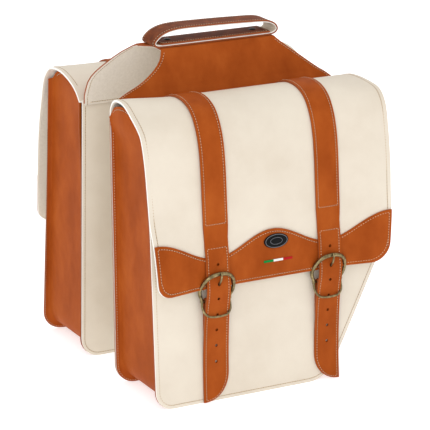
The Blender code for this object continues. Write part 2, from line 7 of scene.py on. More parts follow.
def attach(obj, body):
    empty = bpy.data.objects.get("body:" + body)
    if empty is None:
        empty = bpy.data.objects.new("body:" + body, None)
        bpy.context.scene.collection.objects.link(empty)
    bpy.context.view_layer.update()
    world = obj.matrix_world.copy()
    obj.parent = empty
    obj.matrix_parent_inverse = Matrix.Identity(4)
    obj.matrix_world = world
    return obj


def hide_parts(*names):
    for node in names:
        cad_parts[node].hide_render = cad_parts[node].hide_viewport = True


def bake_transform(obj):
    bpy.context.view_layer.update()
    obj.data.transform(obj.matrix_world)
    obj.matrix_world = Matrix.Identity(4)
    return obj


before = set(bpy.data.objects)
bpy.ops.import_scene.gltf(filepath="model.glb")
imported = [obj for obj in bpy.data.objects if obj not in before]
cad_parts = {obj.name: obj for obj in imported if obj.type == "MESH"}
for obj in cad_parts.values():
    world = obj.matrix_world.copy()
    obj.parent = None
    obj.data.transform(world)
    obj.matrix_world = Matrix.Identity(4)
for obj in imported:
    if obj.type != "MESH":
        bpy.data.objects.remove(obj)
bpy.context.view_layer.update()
mm = 0.001
hair = 0.1 * mm     # air between two layers that lie on each other

# +X runs along the bags towards the heel cut-outs, +Z is up, and the bags face -Y and +Y.
# On a bag, u is the distance outwards from the inner face of its back panel.
sides = {"right": -1, "left": 1}
ends = {"rear": -1, "front": 1}

bag = {
    "halfWidth": 175 * mm,
    "halfGap": 52 * mm,
    "depth": 128 * mm,          # at the floor
    "taper": 0.064,             # depth lost for each unit of height
    "seamHeight": 378 * mm,
    "floor": 0.4 * mm,          # the sheets' lowest edge
    # by side: (z, u) in mm of the back panel's face, as the bags lean together at the top
    "lean": {-1: [(0, 5), (370, -2)], 1: [(0, 0), (370, -9)]},
    "narrow": {-1: 0, 1: 3.5 * mm},     # lost from the rear edge's width at the top
    "mouthHeight": 350 * mm,
    "rim": 3 * mm,              # how far the sewn rear rim stands out
    "heelX": 86 * mm,           # the heel cut runs from here on the floor
    "heelZ": 169 * mm,          # to this height on the front edge
    "cornerRadius": 25 * mm,
    "heelRadius": 45 * mm,
    "swell": (2.6 * mm, 360 * mm),      # the front panel's bulge at its middle, and its height
    "droop": 6 * mm,            # the near one's free corner hangs in
    "bulge": (3.5 * mm, 4 * mm),        # the far one's rear edge stands out, and more at the floor
    "seamStep": 8 * mm,         # spacing of the points that a seam is read at
}


def deselectAll():
    bpy.ops.object.select_all(action="DESELECT")


def makeActive(piece):
    deselectAll()
    piece.select_set(True)
    bpy.context.view_layer.objects.active = piece


def newShape(operator, name=None, scale=(1, 1, 1), **settings):
    # a primitive with nothing else selected, and its size put into its mesh
    deselectAll()
    operator(**settings)
    piece = bpy.context.object
    piece.scale = scale
    bpy.ops.object.transform_apply(location=True, rotation=True, scale=True)
    if name:
        piece.name = piece.data.name = name
    return piece


def joined(pieces, name):
    deselectAll()
    for piece in pieces:
        piece.select_set(True)
    bpy.context.view_layer.objects.active = pieces[0]
    bpy.ops.object.join()
    whole = bpy.context.object
    whole.name = whole.data.name = name
    return whole


def shapeWith(piece, kind, **settings):
    # one modifier, applied at once
    makeActive(piece)
    modifier = piece.modifiers.new("shape", kind)
    for name, value in settings.items():
        setattr(modifier, name, value)
    bpy.ops.object.modifier_apply(modifier="shape")


def cutOut(piece, cutter):
    shapeWith(piece, "BOOLEAN", object=cutter, operation="DIFFERENCE", solver="EXACT")
    bpy.data.objects.remove(cutter, do_unlink=True)


def editWhole(piece, operator, **settings):
    makeActive(piece)
    bpy.ops.object.mode_set(mode="EDIT")
    bpy.ops.mesh.select_all(action="SELECT")
    operator(**settings)
    bpy.ops.object.mode_set(mode="OBJECT")


def fit(piece, body, slot, *nodes):
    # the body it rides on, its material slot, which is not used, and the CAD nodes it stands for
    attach(piece, body)
    if nodes:
        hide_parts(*nodes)


def onBag(side, x, u, z):
    return Vector((x, side * (bag["halfGap"] + u), z))


def backLean(side, z):
    return fromTable(bag["lean"][side], z / mm) * mm


def narrowed(side, x, z):
    # the rear edge runs in a little towards the top
    loss = bag["narrow"][side] * min(z / bag["seamHeight"], 1)
    return x + loss * smoothStep(-100 * mm, -178 * mm, x)


def along(start, stop, count):
    return [start + (stop - start) * k / (count - 1) for k in range(count)]


def inMm(table):
    return [tuple(value * mm for value in row) for row in table]


def smoothStep(low, high, value):
    t = min(max((value - low) / (high - low), 0.0), 1.0)
    return t * t * (3 - 2 * t)


def fromTable(table, value):
    # a straight line between the table's pairs, flat beyond its ends
    if value <= table[0][0]:
        return table[0][1]
    for (a, first), (b, second) in zip(table, table[1:]):
        if value <= b:
            return first + (second - first) * (value - a) / (b - a)
    return table[-1][1]


def smoothCurve(points, steps, closed=False):
    # Catmull-Rom through the points
    spots = [Vector(p) for p in points]
    if closed:
        knots = [spots[-1]] + spots + spots[:2]
    else:
        knots = [2 * spots[0] - spots[1]] + spots + [2 * spots[-1] - spots[-2]]
    curve = []
    for a, b, c, d in zip(knots, knots[1:], knots[2:], knots[3:]):
        for step in range(steps):
            t = step / steps
            curve.append(0.5 * (2 * b + (c - a) * t + (2 * a - 5 * b + 4 * c - d) * t * t
                                + (3 * b - a - 3 * c + d) * t ** 3))
    return curve if closed else curve + [spots[-1]]


def roundCorners(corners, radii, steps):
    path = []
    for i, (corner, radius) in enumerate(zip(corners, radii)):
        corner = Vector(corner)
        if radius == 0:
            path.append(corner)
            continue
        before = (Vector(corners[i - 1]) - corner).normalized()
        after = (Vector(corners[(i + 1) % len(corners)]) - corner).normalized()
        half = before.angle(after) / 2
        centre = corner + (before + after).normalized() * radius / math.sin(half)
        arm = corner + before * radius / math.tan(half) - centre
        turn = math.pi - 2 * half
        if before.x * after.y - before.y * after.x > 0:
            turn = -turn
        for k in range(steps + 1):
            path.append(centre + Matrix.Rotation(turn * k / steps, 2) @ arm)
    return path


def spacedOut(path, spacing):
    # the same path with extra points, so that no step is longer than the spacing
    full = [path[0]]
    for a, b in zip(path, path[1:]):
        count = max(1, math.ceil((b - a).length / spacing))
        full += [a.lerp(b, k / count) for k in range(1, count + 1)]
    return full


class Line:
    # a drawn line that is read by its length

    def __init__(self, points):
        self.points = [Vector(p) for p in points]
        self.lengths = [0.0]
        for a, b in zip(self.points, self.points[1:]):
            self.lengths.append(self.lengths[-1] + (b - a).length)
        self.total = self.lengths[-1]

    def find(self, s):
        s = min(max(s, 0.0), self.total)
        low, high = 0, len(self.points) - 2
        while low < high:
            middle = (low + high + 1) // 2
            if self.lengths[middle] <= s:
                low = middle
            else:
                high = middle - 1
        step = self.lengths[low + 1] - self.lengths[low]
        return low, (s - self.lengths[low]) / max(step, 1e-9)

    def at(self, s):
        i, t = self.find(s)
        return self.points[i].lerp(self.points[i + 1], t)

    def offset(self, s, distance):
        # moved to the left of the line's direction, in the line's own plane
        reach = 1.2 * mm
        ahead = (self.at(s + reach) - self.at(s - reach)).normalized()
        return self.at(s) + Vector((-ahead.y, ahead.x)) * distance


def linear(code):
    channels = [int(code[i:i + 2], 16) / 255 for i in (1, 3, 5)]
    return [c / 12.92 if c <= 0.04045 else ((c + 0.055) / 1.055) ** 2.4 for c in channels] + [1.0]


def addNode(tree, kind, values=None, links=None, into=None, **settings):
    # links feed the node's own sockets, and into says which sockets its outputs feed
    node = tree.nodes.new(kind)
    for name, value in settings.items():
        setattr(node, name, value)
    for socket, value in (values or {}).items():
        node.inputs[socket].default_value = value
    for socket, source in (links or {}).items():
        tree.links.new(source, node.inputs[socket])
    for output, socket in (into or {}).items():
        tree.links.new(node.outputs[output], socket)
    return node


def newMaterial(name, colour, roughness, **sockets):
    # the material's tree, its shader, and the coordinates of the piece it is on
    material = bpy.data.materials.new(name)
    material.use_nodes = True
    material.diffuse_color = linear(colour)
    tree = material.node_tree
    shader = tree.nodes["Principled BSDF"].inputs
    shader["Base Color"].default_value = linear(colour)
    shader["Roughness"].default_value = roughness
    for socket, value in sockets.items():
        shader[socket.replace("_", " ")].default_value = value
    return material, tree, shader, addNode(tree, "ShaderNodeTexCoord").outputs["Object"]


def setStops(ramp, stops):
    elements = ramp.color_ramp.elements
    for i, (place, code) in enumerate(stops):
        element = elements[i] if i < 2 else elements.new(place)
        element.position = place
        element.color = linear(code)


def paintLeather(name, look):
    # Smooth side of vegetable-tanned leather under a wax finish: soft clouds of colour, fine pores,
    # and a dull shine that changes a little from place to place.
    rough1, rough2 = look["roughness"]
    material, tree, shader, coords = newMaterial(name, look["colour"], rough1,
                                                 Specular_IOR_Level=look["shine"])
    stretch = addNode(tree, "ShaderNodeMapping", {"Scale": look["stretch"]}, {"Vector": coords})
    clouds = addNode(tree, "ShaderNodeTexNoise",
                     {"Scale": 1 / look["cloudSize"], "Detail": 5.0, "Roughness": 0.62},
                     {"Vector": stretch.outputs["Vector"]})
    ramp = addNode(tree, "ShaderNodeValToRGB", links={"Fac": clouds.outputs["Fac"]},
                   into={"Color": shader["Base Color"]})
    setStops(ramp, [(0.33, look["dark"]), (0.70, look["light"]), (0.52, look["colour"])])
    wear = addNode(tree, "ShaderNodeTexNoise", {"Scale": 1 / (9 * mm), "Detail": 3.0},
                   {"Vector": coords})
    addNode(tree, "ShaderNodeMapRange", {"To Min": rough1, "To Max": rough2},
            {"Value": wear.outputs["Fac"]}, {"Result": shader["Roughness"]})
    # pores: 1.1 mm cells, coarser than real ones so that they show
    pores = addNode(tree, "ShaderNodeTexVoronoi", {"Scale": 1 / (1.1 * mm)}, {"Vector": coords},
                    feature="SMOOTH_F1")
    folds = addNode(tree, "ShaderNodeTexNoise", {"Scale": 1 / (4 * mm), "Detail": 4.0},
                    {"Vector": coords})
    height = addNode(tree, "ShaderNodeMath", {1: 0.55},
                     {0: pores.outputs["Distance"], 2: folds.outputs["Fac"]},
                     operation="MULTIPLY_ADD")
    addNode(tree, "ShaderNodeBump", {"Strength": look["grain"], "Distance": 0.16 * mm},
            {"Height": height.outputs["Value"]}, {"Normal": shader["Normal"]})
    return material


creamLeather = paintLeather("creamWaxedLeather", {
    "colour": "#DED3C2", "light": "#E3D9C8", "dark": "#D8CCBA", "cloudSize": 120 * mm,
    "stretch": (1, 1, 1), "roughness": (0.5, 0.6), "shine": 0.2, "grain": 0.28})
# A darker copy of the tan leather for the handle's strap and the base strip: painted shade, for the
# little light that falls on these top faces from above.
shadedTanLeather = paintLeather("tanLeatherPaintedShade", {
    "colour": "#74391A", "light": "#86451F", "dark": "#5E2D14", "cloudSize": 12 * mm,
    "stretch": (1, 1, 1), "roughness": (0.5, 0.62), "shine": 0.1, "grain": 0.7})
tanLeather = paintLeather("tanVegetableTannedLeather", {
    "colour": "#A24C18", "light": "#AC551E", "dark": "#954312", "cloudSize": 40 * mm,
    "stretch": (1, 1, 0.6), "roughness": (0.5, 0.6), "shine": 0.05, "grain": 0.35})


def paintMottled(name, colours, roughness, grain, relief, detail=3.0, **sockets):
    # two close colours mixed by a fine noise, which also gives a little relief
    material, tree, shader, coords = newMaterial(name, colours[0], roughness, **sockets)
    noise = addNode(tree, "ShaderNodeTexNoise", {"Scale": 1 / grain, "Detail": detail},
                    {"Vector": coords}).outputs["Fac"]
    addNode(tree, "ShaderNodeMix", {6: linear(colours[0]), 7: linear(colours[1])}, {0: noise},
            {2: shader["Base Color"]}, data_type="RGBA")
    addNode(tree, "ShaderNodeBump", {"Strength": relief[0], "Distance": relief[1]},
            {"Height": noise}, {"Normal": shader["Normal"]})
    return material


# The cut edge of leather: tight fibres in thin layers, raw on the cream and burnished on the tan.
edgeRelief = (0.3, 0.1 * mm)
creamEdge = paintMottled("paleCutEdge", ("#FBFAF6", "#F3EFE6"), 0.72, 1.5 * mm, edgeRelief)
tanEdge = paintMottled("burnishedTanEdge", ("#A9541F", "#853F14"), 0.72, 1.5 * mm, edgeRelief)


def paintTextile():
    # Plain-weave cotton backing: crossed threads 0.9 mm apart, drawn at 1.6 mm so that they show.
    material, tree, shader, coords = newMaterial(
        "cottonBackingCloth", "#DAD0C2", 0.9, Sheen_Weight=0.25, Sheen_Roughness=0.5,
        Specular_IOR_Level=0.2)
    warp, weft = (addNode(tree, "ShaderNodeTexWave", {"Scale": 1 / (1.6 * mm * math.pi),
                                                      "Distortion": 0.6, "Detail": 1.0},
                          {"Vector": coords}, bands_direction=direction).outputs["Fac"]
                  for direction in ("X", "Z"))
    weave = addNode(tree, "ShaderNodeMath", links={0: warp, 1: weft}, operation="MAXIMUM")
    fleck = addNode(tree, "ShaderNodeTexNoise", {"Scale": 1 / (3 * mm), "Detail": 4.0},
                    {"Vector": coords})
    addNode(tree, "ShaderNodeMix", {6: linear("#D0C5B5"), 7: linear("#E6DDD0")},
            {0: fleck.outputs["Fac"]}, {2: shader["Base Color"]}, data_type="RGBA")
    addNode(tree, "ShaderNodeBump", {"Strength": 0.35, "Distance": 0.2 * mm},
            {"Height": weave.outputs["Value"]}, {"Normal": shader["Normal"]})
    return material


def paintBrass():
    # Cast brass with an antique finish: dark olive patina in patches, rubbed bright between them.
    material, tree, shader, coords = newMaterial("antiqueBrass", "#85754F", 0.3, Metallic=1.0)
    patina = addNode(tree, "ShaderNodeTexNoise",
                     {"Scale": 1 / (5 * mm), "Detail": 6.0, "Roughness": 0.7},
                     {"Vector": coords}).outputs["Fac"]
    ramp = addNode(tree, "ShaderNodeValToRGB", links={"Fac": patina},
                   into={"Color": shader["Base Color"]})
    setStops(ramp, [(0.36, "#5C5036"), (0.66, "#A8986E")])
    addNode(tree, "ShaderNodeMapRange", {"To Min": 0.42, "To Max": 0.24}, {"Value": patina},
            {"Result": shader["Roughness"]})
    pits = addNode(tree, "ShaderNodeTexNoise", {"Scale": 1 / (1.2 * mm), "Detail": 2.0},
                   {"Vector": coords})
    addNode(tree, "ShaderNodeBump", {"Strength": 0.12, "Distance": 0.1 * mm},
            {"Height": pits.outputs["Fac"]}, {"Normal": shader["Normal"]})
    return material


def paintRibbon(centre, stripe):
    # Woven satin ribbon in three even colours, with its ribs across it.
    material, tree, shader, coords = newMaterial("wovenSatinRibbon", "#EDEDEA", 0.7,
                                                 Specular_IOR_Level=0.1)
    split = addNode(tree, "ShaderNodeSeparateXYZ", links={0: coords})
    share = addNode(tree, "ShaderNodeMapRange",
                    {"From Min": centre - 1.5 * stripe, "From Max": centre + 1.5 * stripe},
                    {"Value": split.outputs["X"]})
    ramp = addNode(tree, "ShaderNodeValToRGB", links={"Fac": share.outputs["Result"]},
                   into={"Color": shader["Base Color"]})
    ramp.color_ramp.interpolation = "CONSTANT"
    setStops(ramp, [(0, "#12803A"), (0.667, "#B01A1E"), (0.333, "#E9E7E2")])
    ribs = addNode(tree, "ShaderNodeTexWave", {"Scale": 1 / (0.8 * mm * math.pi)},
                   {"Vector": coords}, bands_direction="X")
    addNode(tree, "ShaderNodeBump", {"Strength": 0.4, "Distance": 0.12 * mm},
            {"Height": ribs.outputs["Fac"]}, {"Normal": shader["Normal"]})
    return material


textile = paintTextile()
antiqueBrass = paintBrass()


def paintThread(name, *colours):
    # Waxed linen thread: two plies twisted 0.8 mm apart, a little darker between them.
    return paintMottled(name, colours, 0.6, 0.8 * mm, (0.3, 0.08 * mm), 2.0, Sheen_Weight=0.15)


threadOnTan = paintThread("waxedThreadOnTan", "#E6CBA6", "#CBA67C")
threadOnCream = paintThread("waxedThreadOnCream", "#C4A273", "#AC8A5C")
# The needle holes are thin dark discs at the ends of the stitches; their dark colours are painted
# shade inside the holes.
holeShadeOnTan = paintThread("needleHoleShadeInTan", "#4E240E", "#3B1A09")
holeShadeOnCream = paintThread("needleHoleShadeInCream", "#9C8057", "#86693F")

# Small hard trims: moulded or coated, with faint mottling and a fine texture.
trimRelief = (0.1, 0.1 * mm)
blackBoard = paintMottled("blackFibreBoard", ("#17181B", "#222327"), 0.75, 2 * mm, trimRelief)
blackEnamel = paintMottled("blackEnamel", ("#08090A", "#0D0E10"), 0.4, 6 * mm, trimRelief,
                           Specular_IOR_Level=0.12)
silverRim = paintMottled("satinNickel", ("#8E9094", "#6E7074"), 0.4, 2 * mm, trimRelief,
                         Metallic=1.0)
blackStud = paintMottled("blackLacqueredStud", ("#1B1A1B", "#0F0F10"), 0.32, 3 * mm, trimRelief)
print("materials ready")


def layOut(name, rows, columns, place, outward):
    # a flat grid whose points are moved into the sheet's shape, with its face turned outwards
    piece = newShape(bpy.ops.mesh.primitive_grid_add, name, x_subdivisions=columns - 1,
                     y_subdivisions=rows - 1, size=1)
    for vertex in piece.data.vertices:
        column = round((vertex.co.x + 0.5) * (columns - 1))
        row = round((vertex.co.y + 0.5) * (rows - 1))
        vertex.co = place(row, column)
    middle = piece.data.polygons[(rows // 2) * (columns - 1) + columns // 2]
    if middle.normal.dot(Vector(outward)) < 0:
        editWhole(piece, bpy.ops.mesh.flip_normals)
    return piece


def finishSheet(piece, thickness, face, edge, bevel=0.35 * mm, angle=40):
    piece.data.materials.clear()
    piece.data.materials.append(face)
    piece.data.materials.append(edge)
    shapeWith(piece, "SOLIDIFY", thickness=thickness, offset=-1, use_even_offset=True,
              material_offset_rim=1)
    shapeWith(piece, "BEVEL", width=bevel, segments=2, limit_method="ANGLE",
              angle_limit=math.radians(50))
    bpy.ops.object.shade_smooth_by_angle(angle=math.radians(angle))
    return piece


def modelStitch(shape):
    size = [shape[name] / 2 for name in ("length", "width", "height")]
    piece = newShape(bpy.ops.mesh.primitive_uv_sphere_add, segments=6, ring_count=4, radius=1,
                     rotation=(0, math.pi / 2, 0))
    spots = [tuple(a * b for a, b in zip(v.co, size)) for v in piece.data.vertices]
    faces = [list(f.vertices) for f in piece.data.polygons]
    bpy.data.objects.remove(piece, do_unlink=True)
    return spots, faces


stitch = {"length": 2.1 * mm, "width": 0.95 * mm, "height": 0.7 * mm, "pitch": 3.8 * mm,
          "lift": 0.12 * mm}
needleHole = {"length": 1.7 * mm, "width": 1.2 * mm, "height": 0.2 * mm}
stitchShape, holeShape = modelStitch(stitch), modelStitch(needleHole)


def sewAlong(surface, steps):
    # places for stitches on a surface, along a run of its own coordinates
    low = Line([surface(a, b, 0) for a, b in steps])
    high = [surface(a, b, 1 * mm) for a, b in steps]
    count = max(1, round(low.total / stitch["pitch"]))
    places = []
    for k in range(count):
        s = low.total * (k + 0.5) / count
        i, t = low.find(s)
        spot = low.points[i].lerp(low.points[i + 1], t)
        up = (high[i].lerp(high[i + 1], t) - spot).normalized()
        across = up.cross(low.at(s + 1 * mm) - low.at(s - 1 * mm)).normalized()
        turn = Matrix((across.cross(up), across, up)).transposed().to_4x4()
        places.append(Matrix.Translation(spot + up * stitch["lift"]) @ turn)
    return places


def makeThread(name, places, material):
    # every stitch, with the needle hole at its end pressed into the leather, dark with painted
    # shade
    spots, faces = [], []
    hole = Matrix.Translation((stitch["pitch"] / 2, 0, -stitch["lift"]))
    for place in places:
        for (points, loops), shift in ((stitchShape, Matrix()), (holeShape, hole)):
            first = len(spots)
            spots += [place @ shift @ Vector(p) for p in points]
            faces += [[first + i for i in loop] for loop in loops]
    mesh = bpy.data.meshes.new(name)
    mesh.from_pydata(spots, [], faces)
    mesh.materials.append(material)
    mesh.materials.append(holeShadeOnTan if material is threadOnTan else holeShadeOnCream)
    plain = len(stitchShape[1])
    for face in mesh.polygons:
        face.material_index = int(face.index % (2 * plain) >= plain)
    piece = bpy.data.objects.new(name, mesh)
    bpy.context.scene.collection.objects.link(piece)
    makeActive(piece)
    bpy.ops.object.shade_smooth()
    return piece


def sewOn(name, places, material, body, slot):
    fit(makeThread(name, places, material), body, slot)


def bagOutline(grow, bottom, top, rounder=0, steps=8):
    # the front view of a bag, from its top rear corner round the bottom to its top front corner
    run = Vector((bag["halfWidth"] - bag["heelX"], bag["heelZ"])).normalized()
    foot = Vector((bag["heelX"], 0)) + Vector((run.y, -run.x)) * grow
    edge = bag["halfWidth"] + grow
    low = foot + run * ((bottom - foot.y) / run.y)
    high = foot + run * ((edge - foot.x) / run.x)
    corners = [(-edge, top), (-edge, bottom), low, high, (edge, top)]
    heel = bag["heelRadius"] + grow + rounder
    radii = [0, bag["cornerRadius"] + grow + rounder, heel, heel, 0]
    return roundCorners(corners, radii, steps)


def seamRun(grow, bottom, top):
    return [tuple(p) for p in spacedOut(bagOutline(grow, bottom, top), bag["seamStep"])]


def widthAt(outline, z):
    left = sorted((p.y, p.x) for p in outline if p.x < 0)
    right = sorted((p.y, p.x) for p in outline if p.x > 0)
    return fromTable(left, z), fromTable(right, z)


def flatRows(outline, top, spacing):
    heights = sorted({round(p.y, 6) for p in outline if p.y < top} | {top})
    return [p.x for p in spacedOut([Vector((z, 0)) for z in heights], spacing)]


def frontDepth(side, x, z):
    # outer face of the front panel: it leans in, swells a little, and its free top corner droops
    u = bag["depth"] - bag["taper"] * z
    swell, height = bag["swell"]
    across = 1 - (x / bag["halfWidth"]) ** 2
    u += swell * across * math.sin(math.pi * min(z / height, 1))
    if side < 0:
        droop = smoothStep(230 * mm, 330 * mm, z) * smoothStep(-80 * mm, -172 * mm, x)
        return u - bag["droop"] * droop
    even, low = bag["bulge"]
    bulge = even + low * (1 - smoothStep(-20 * mm, 300 * mm, z))
    return u + bulge * smoothStep(-108 * mm, -165 * mm, x)


def mouthTop(side, x):
    # the front panel's top edge, lower at the corner where the flap presses on it
    press = frontPanel["press"] * smoothStep(-110 * mm, -175 * mm, x) if side < 0 else 0
    return bag["mouthHeight"] - press


frontPanel = {
    "thickness": 2.4 * mm,
    "press": 30 * mm,           # how far the flap pushes its free corner down
    "grow": {-1: 0, 1: -2.5 * mm},      # the far one is cut smaller than its gusset's flange
    "straight": 300 * mm,       # its mouth only changes above this
    "inset": 5 * mm,            # stitches from the edge
    "seamEnd": 316 * mm,        # they stop below the mouth
}


def buildFront(side, label):
    outline = bagOutline(frontPanel["grow"][side], bag["floor"], bag["mouthHeight"])
    rows = flatRows(outline, bag["mouthHeight"], 12 * mm)
    columns = 33

    def surface(x, z, lift):
        return onBag(side, x, frontDepth(side, x, z) + lift, z)

    def place(row, column):
        left, right = widthAt(outline, rows[row])
        x = left + (right - left) * column / (columns - 1)
        z = rows[row]
        high = frontPanel["straight"]
        if z > high:
            z = high + (z - high) * (mouthTop(side, x) - high) / (bag["mouthHeight"] - high)
        return surface(x, z, 0)

    panel = layOut(label + "FrontPanel", len(rows), columns, place, (0, side, 0))
    finishSheet(panel, frontPanel["thickness"], creamLeather, creamEdge)
    fit(panel, label + "_bag", "cream_leather", label + "_front_panel")
    inset = frontPanel["inset"]
    run = seamRun(-inset, inset + bag["floor"], 330 * mm)
    places = sewAlong(surface, [p for p in run if p[1] < frontPanel["seamEnd"]])
    sewOn(label + "FrontPanelThread", places, threadOnCream, label + "_bag", "cream_leather")


gusset = {
    "thickness": 1.9 * mm,
    "rimDepth": 6.4 * mm,       # outer face of the flange sewn to the back
    "panel": 2.5 * mm,          # leather of the front panel, and a hair of air
    "inset": 4 * mm,            # how far the side runs inside the panels' edges
    "pinch": 1.6 * mm,          # how far it sinks in between them
    "rounder": 14 * mm,         # its corners are rounder than the panels'
    # across the strip: distance from a panel and how far out it is there, both in mm
    "turn": [(0.1, -1.4), (0.9, -2.9), (2.8, -3.7), (6, -4)],
    "flange": {-1: 0.4 * mm, 1: 3.6 * mm},      # how far the front one stands out
    "flare": {-1: 8 * mm, 1: 3 * mm},           # how far its free top leans out
    "heelEdge": 1.8 * mm,       # the front flange shows past the panel along the heel cut
    "gape": 6 * mm,             # the far bag's rear seam opens this much at the top
    # top edge: (u, z) in mm
    "arch": [(0, 374), (6, 380), (14, 386), (28, 394), (45, 399), (60, 401), (78, 401),
             (90, 398), (98, 392), (104, 382), (107, 371), (110, 352)],
    "pressedArch": [(2, 372), (5, 381), (9, 389), (15, 394.5), (25, 398), (38, 399), (50, 396),
                    (60, 389), (70, 381), (80, 372), (88, 361), (96, 344), (104, 322)],
    "archAt": 380 * mm,         # height at which the arch's u is read
    "archFoot": 300 * mm,
    "shares": [0.12, 0.2, 0.28, 0.37, 0.46, 0.55, 0.64, 0.73, 0.82, 0.9],
    # (growth, foot, top) of the two flanges' stitch lines
    "backSeam": (0.9 * mm, 2.2 * mm, 358 * mm),
    "frontSeam": (-2.1 * mm, 2.2 * mm, 312 * mm),
    "archSeam": 4 * mm,         # stitches below the arch's cut edge
}


def gussetArch(side, way, u):
    pressed = side < 0 and way < 0
    return fromTable(gusset["pressedArch" if pressed else "arch"], u / mm) * mm


def gussetDepth(side, x, z, share):
    # outwards place between the two flanges
    low = gusset["rimDepth"] + backLean(side, z)
    if side > 0:
        gape = smoothStep(255 * mm, 345 * mm, z) * smoothStep(-150 * mm, -170 * mm, x)
        low += gusset["gape"] * gape
    high = frontDepth(side, x, z) - gusset["panel"] - gusset["thickness"]
    return low + (high - low) * share


def sunk(share):
    # the strip sinks in between the panels
    return gusset["pinch"] * math.sin(math.pi * share)


def flared(side, x, u, z):
    lean = smoothStep(345 * mm, 378 * mm, z) * (1 - smoothStep(28 * mm, 85 * mm, u))
    return x + math.copysign(gusset["flare"][side] * lean, x)


def gussetColumns(side):
    # (growth of the outline, share, distance from the nearer flange) of each line of the strip
    turn = inMm(gusset["turn"])
    back = [(bag["rim"], 0, 0)] + [(out, 0, near) for near, out in turn]
    front = [(gusset["flange"][side], 1, 0)] + [(out, 1, -near) for near, out in turn]
    return back + [(-gusset["inset"], share, 0) for share in gusset["shares"]] + front[::-1]


def gussetLine(side, grow, share, near):
    # one line along the strip, from the rear mouth round the bottom to the front mouth
    high = gusset["archFoot"]
    edge = bag["halfWidth"]
    depths = {way: gussetDepth(side, way * edge, gusset["archAt"], share) for way in (-1, 1)}
    rear, front = (gussetArch(side, way, depth + near) for way, depth in depths.items())
    rounder = gusset["rounder"] * min(max(-grow / gusset["inset"], 0), 1)
    outline = bagOutline(grow, bag["floor"] - min(grow, bag["floor"]), high, rounder)
    points = [Vector((outline[0].x, rear + (high - rear) * k / 6)) for k in range(6)]
    # four straight runs with the eight steps of a corner between them
    for first in (0, 9, 18, 27):
        points += [outline[first].lerp(outline[first + 1], k / 8) for k in range(9)]
        points += outline[first + 2:first + 9]
    points += [Vector((outline[-1].x, high + (front - high) * k / 6)) for k in range(1, 7)]
    spots = []
    for p in points:
        soft = sunk(share) * smoothStep(20 * mm, 160 * mm, p.y)
        x = narrowed(side, p.x - math.copysign(soft, p.x), p.y)
        u = gussetDepth(side, p.x, p.y, share) + near
        if grow < 0:
            x = flared(side, x, u, p.y)
        elif share == 1:
            x += gusset["heelEdge"] * smoothStep(60 * mm, 95 * mm, p.x)
        spots.append(onBag(side, x, u, p.y))
    return spots


def buildGusset(side, label):
    lines = [gussetLine(side, *column) for column in gussetColumns(side)]
    strip = layOut(label + "Gusset", len(lines[0]), len(lines),
                   lambda row, column: lines[column][row], (0, 0, -1))
    finishSheet(strip, gusset["thickness"], tanLeather, tanEdge, angle=60)
    fit(strip, label + "_bag", "tan_leather", label + "_gusset")

    def backFlange(x, z, lift):
        return onBag(side, narrowed(side, x, z), gussetDepth(side, x, z, 0) + lift, z)

    def frontFlange(x, z, lift):
        return onBag(side, x, gussetDepth(side, x, z, 1) - lift, z)

    grow, bottom, top = gusset["frontSeam"]
    places = sewAlong(backFlange, seamRun(*gusset["backSeam"]))
    places += sewAlong(frontFlange, seamRun(grow + gusset["flange"][side], bottom, top))
    for way in (-1, 1):
        def archFace(share, drop, lift):
            x = bag["halfWidth"] - gusset["inset"] - sunk(share) + lift
            u = gussetDepth(side, way * x, gusset["archAt"], share)
            z = gussetArch(side, way, u) - drop
            x = flared(side, narrowed(side, way * x, z), u, z)
            return onBag(side, x, gussetDepth(side, way * x, z, share), z)

        run = [(share, gusset["archSeam"]) for share in along(0.06, 0.93, 40)]
        places += sewAlong(archFace, run)
    sewOn(label + "GussetThread", places, threadOnTan, label + "_bag", "tan_leather")


backParts = {
    "outer": 1.3 * mm,          # thicknesses
    "inner": 1.0 * mm,
    "board": 1.9 * mm,
    "gap": 0.05 * mm,           # between two layers
    "boardTop": 368 * mm,
    "seam": (-1.5 * mm, 4.5 * mm, 370 * mm),    # growth, foot and top of its stitch line
}


def flatPanel(side, name, u, thickness, outline, face, edge):
    rows = flatRows(outline, outline[0].y, 25 * mm)
    columns = 13

    def place(row, column):
        z = rows[row]
        left, right = widthAt(outline, z)
        x = left + (right - left) * column / (columns - 1)
        return onBag(side, narrowed(side, x, z), u + backLean(side, z), z)

    panel = layOut(name, len(rows), columns, place, (0, -side, 0))
    return finishSheet(panel, thickness, face, edge, bevel=0.25 * mm)


def buildBack(side, label):
    rimEdge = tanEdge if side < 0 else creamEdge
    top, rim, gap = bag["seamHeight"], bag["rim"], backParts["gap"]
    outer = flatPanel(side, label + "BackPanel", 0, backParts["outer"], bagOutline(rim, 0, top),
                      creamLeather, rimEdge)
    fit(outer, label + "_bag", "cream_leather", label + "_back_panel")
    u = backParts["outer"] + gap
    inner = flatPanel(side, label + "BackInterlining", u, backParts["inner"],
                      bagOutline(rim - 0.3 * mm, 0.3 * mm, top - 1 * mm), creamEdge, rimEdge)
    fit(inner, label + "_bag", "cream_leather")
    u += backParts["inner"] + gap
    board = flatPanel(side, label + "StiffenerBoard", u, backParts["board"],
                      bagOutline(rim - 0.9 * mm, 1.1 * mm, backParts["boardTop"]), blackBoard,
                      blackBoard)
    fit(board, label + "_bag", "black_board", label + "_stiffener_board")

    def surface(x, z, lift):
        return onBag(side, narrowed(side, x, z), backLean(side, z) - lift, z)

    sewOn(label + "BackThread", sewAlong(surface, seamRun(*backParts["seam"])), threadOnCream,
          label + "_bag", "cream_leather")


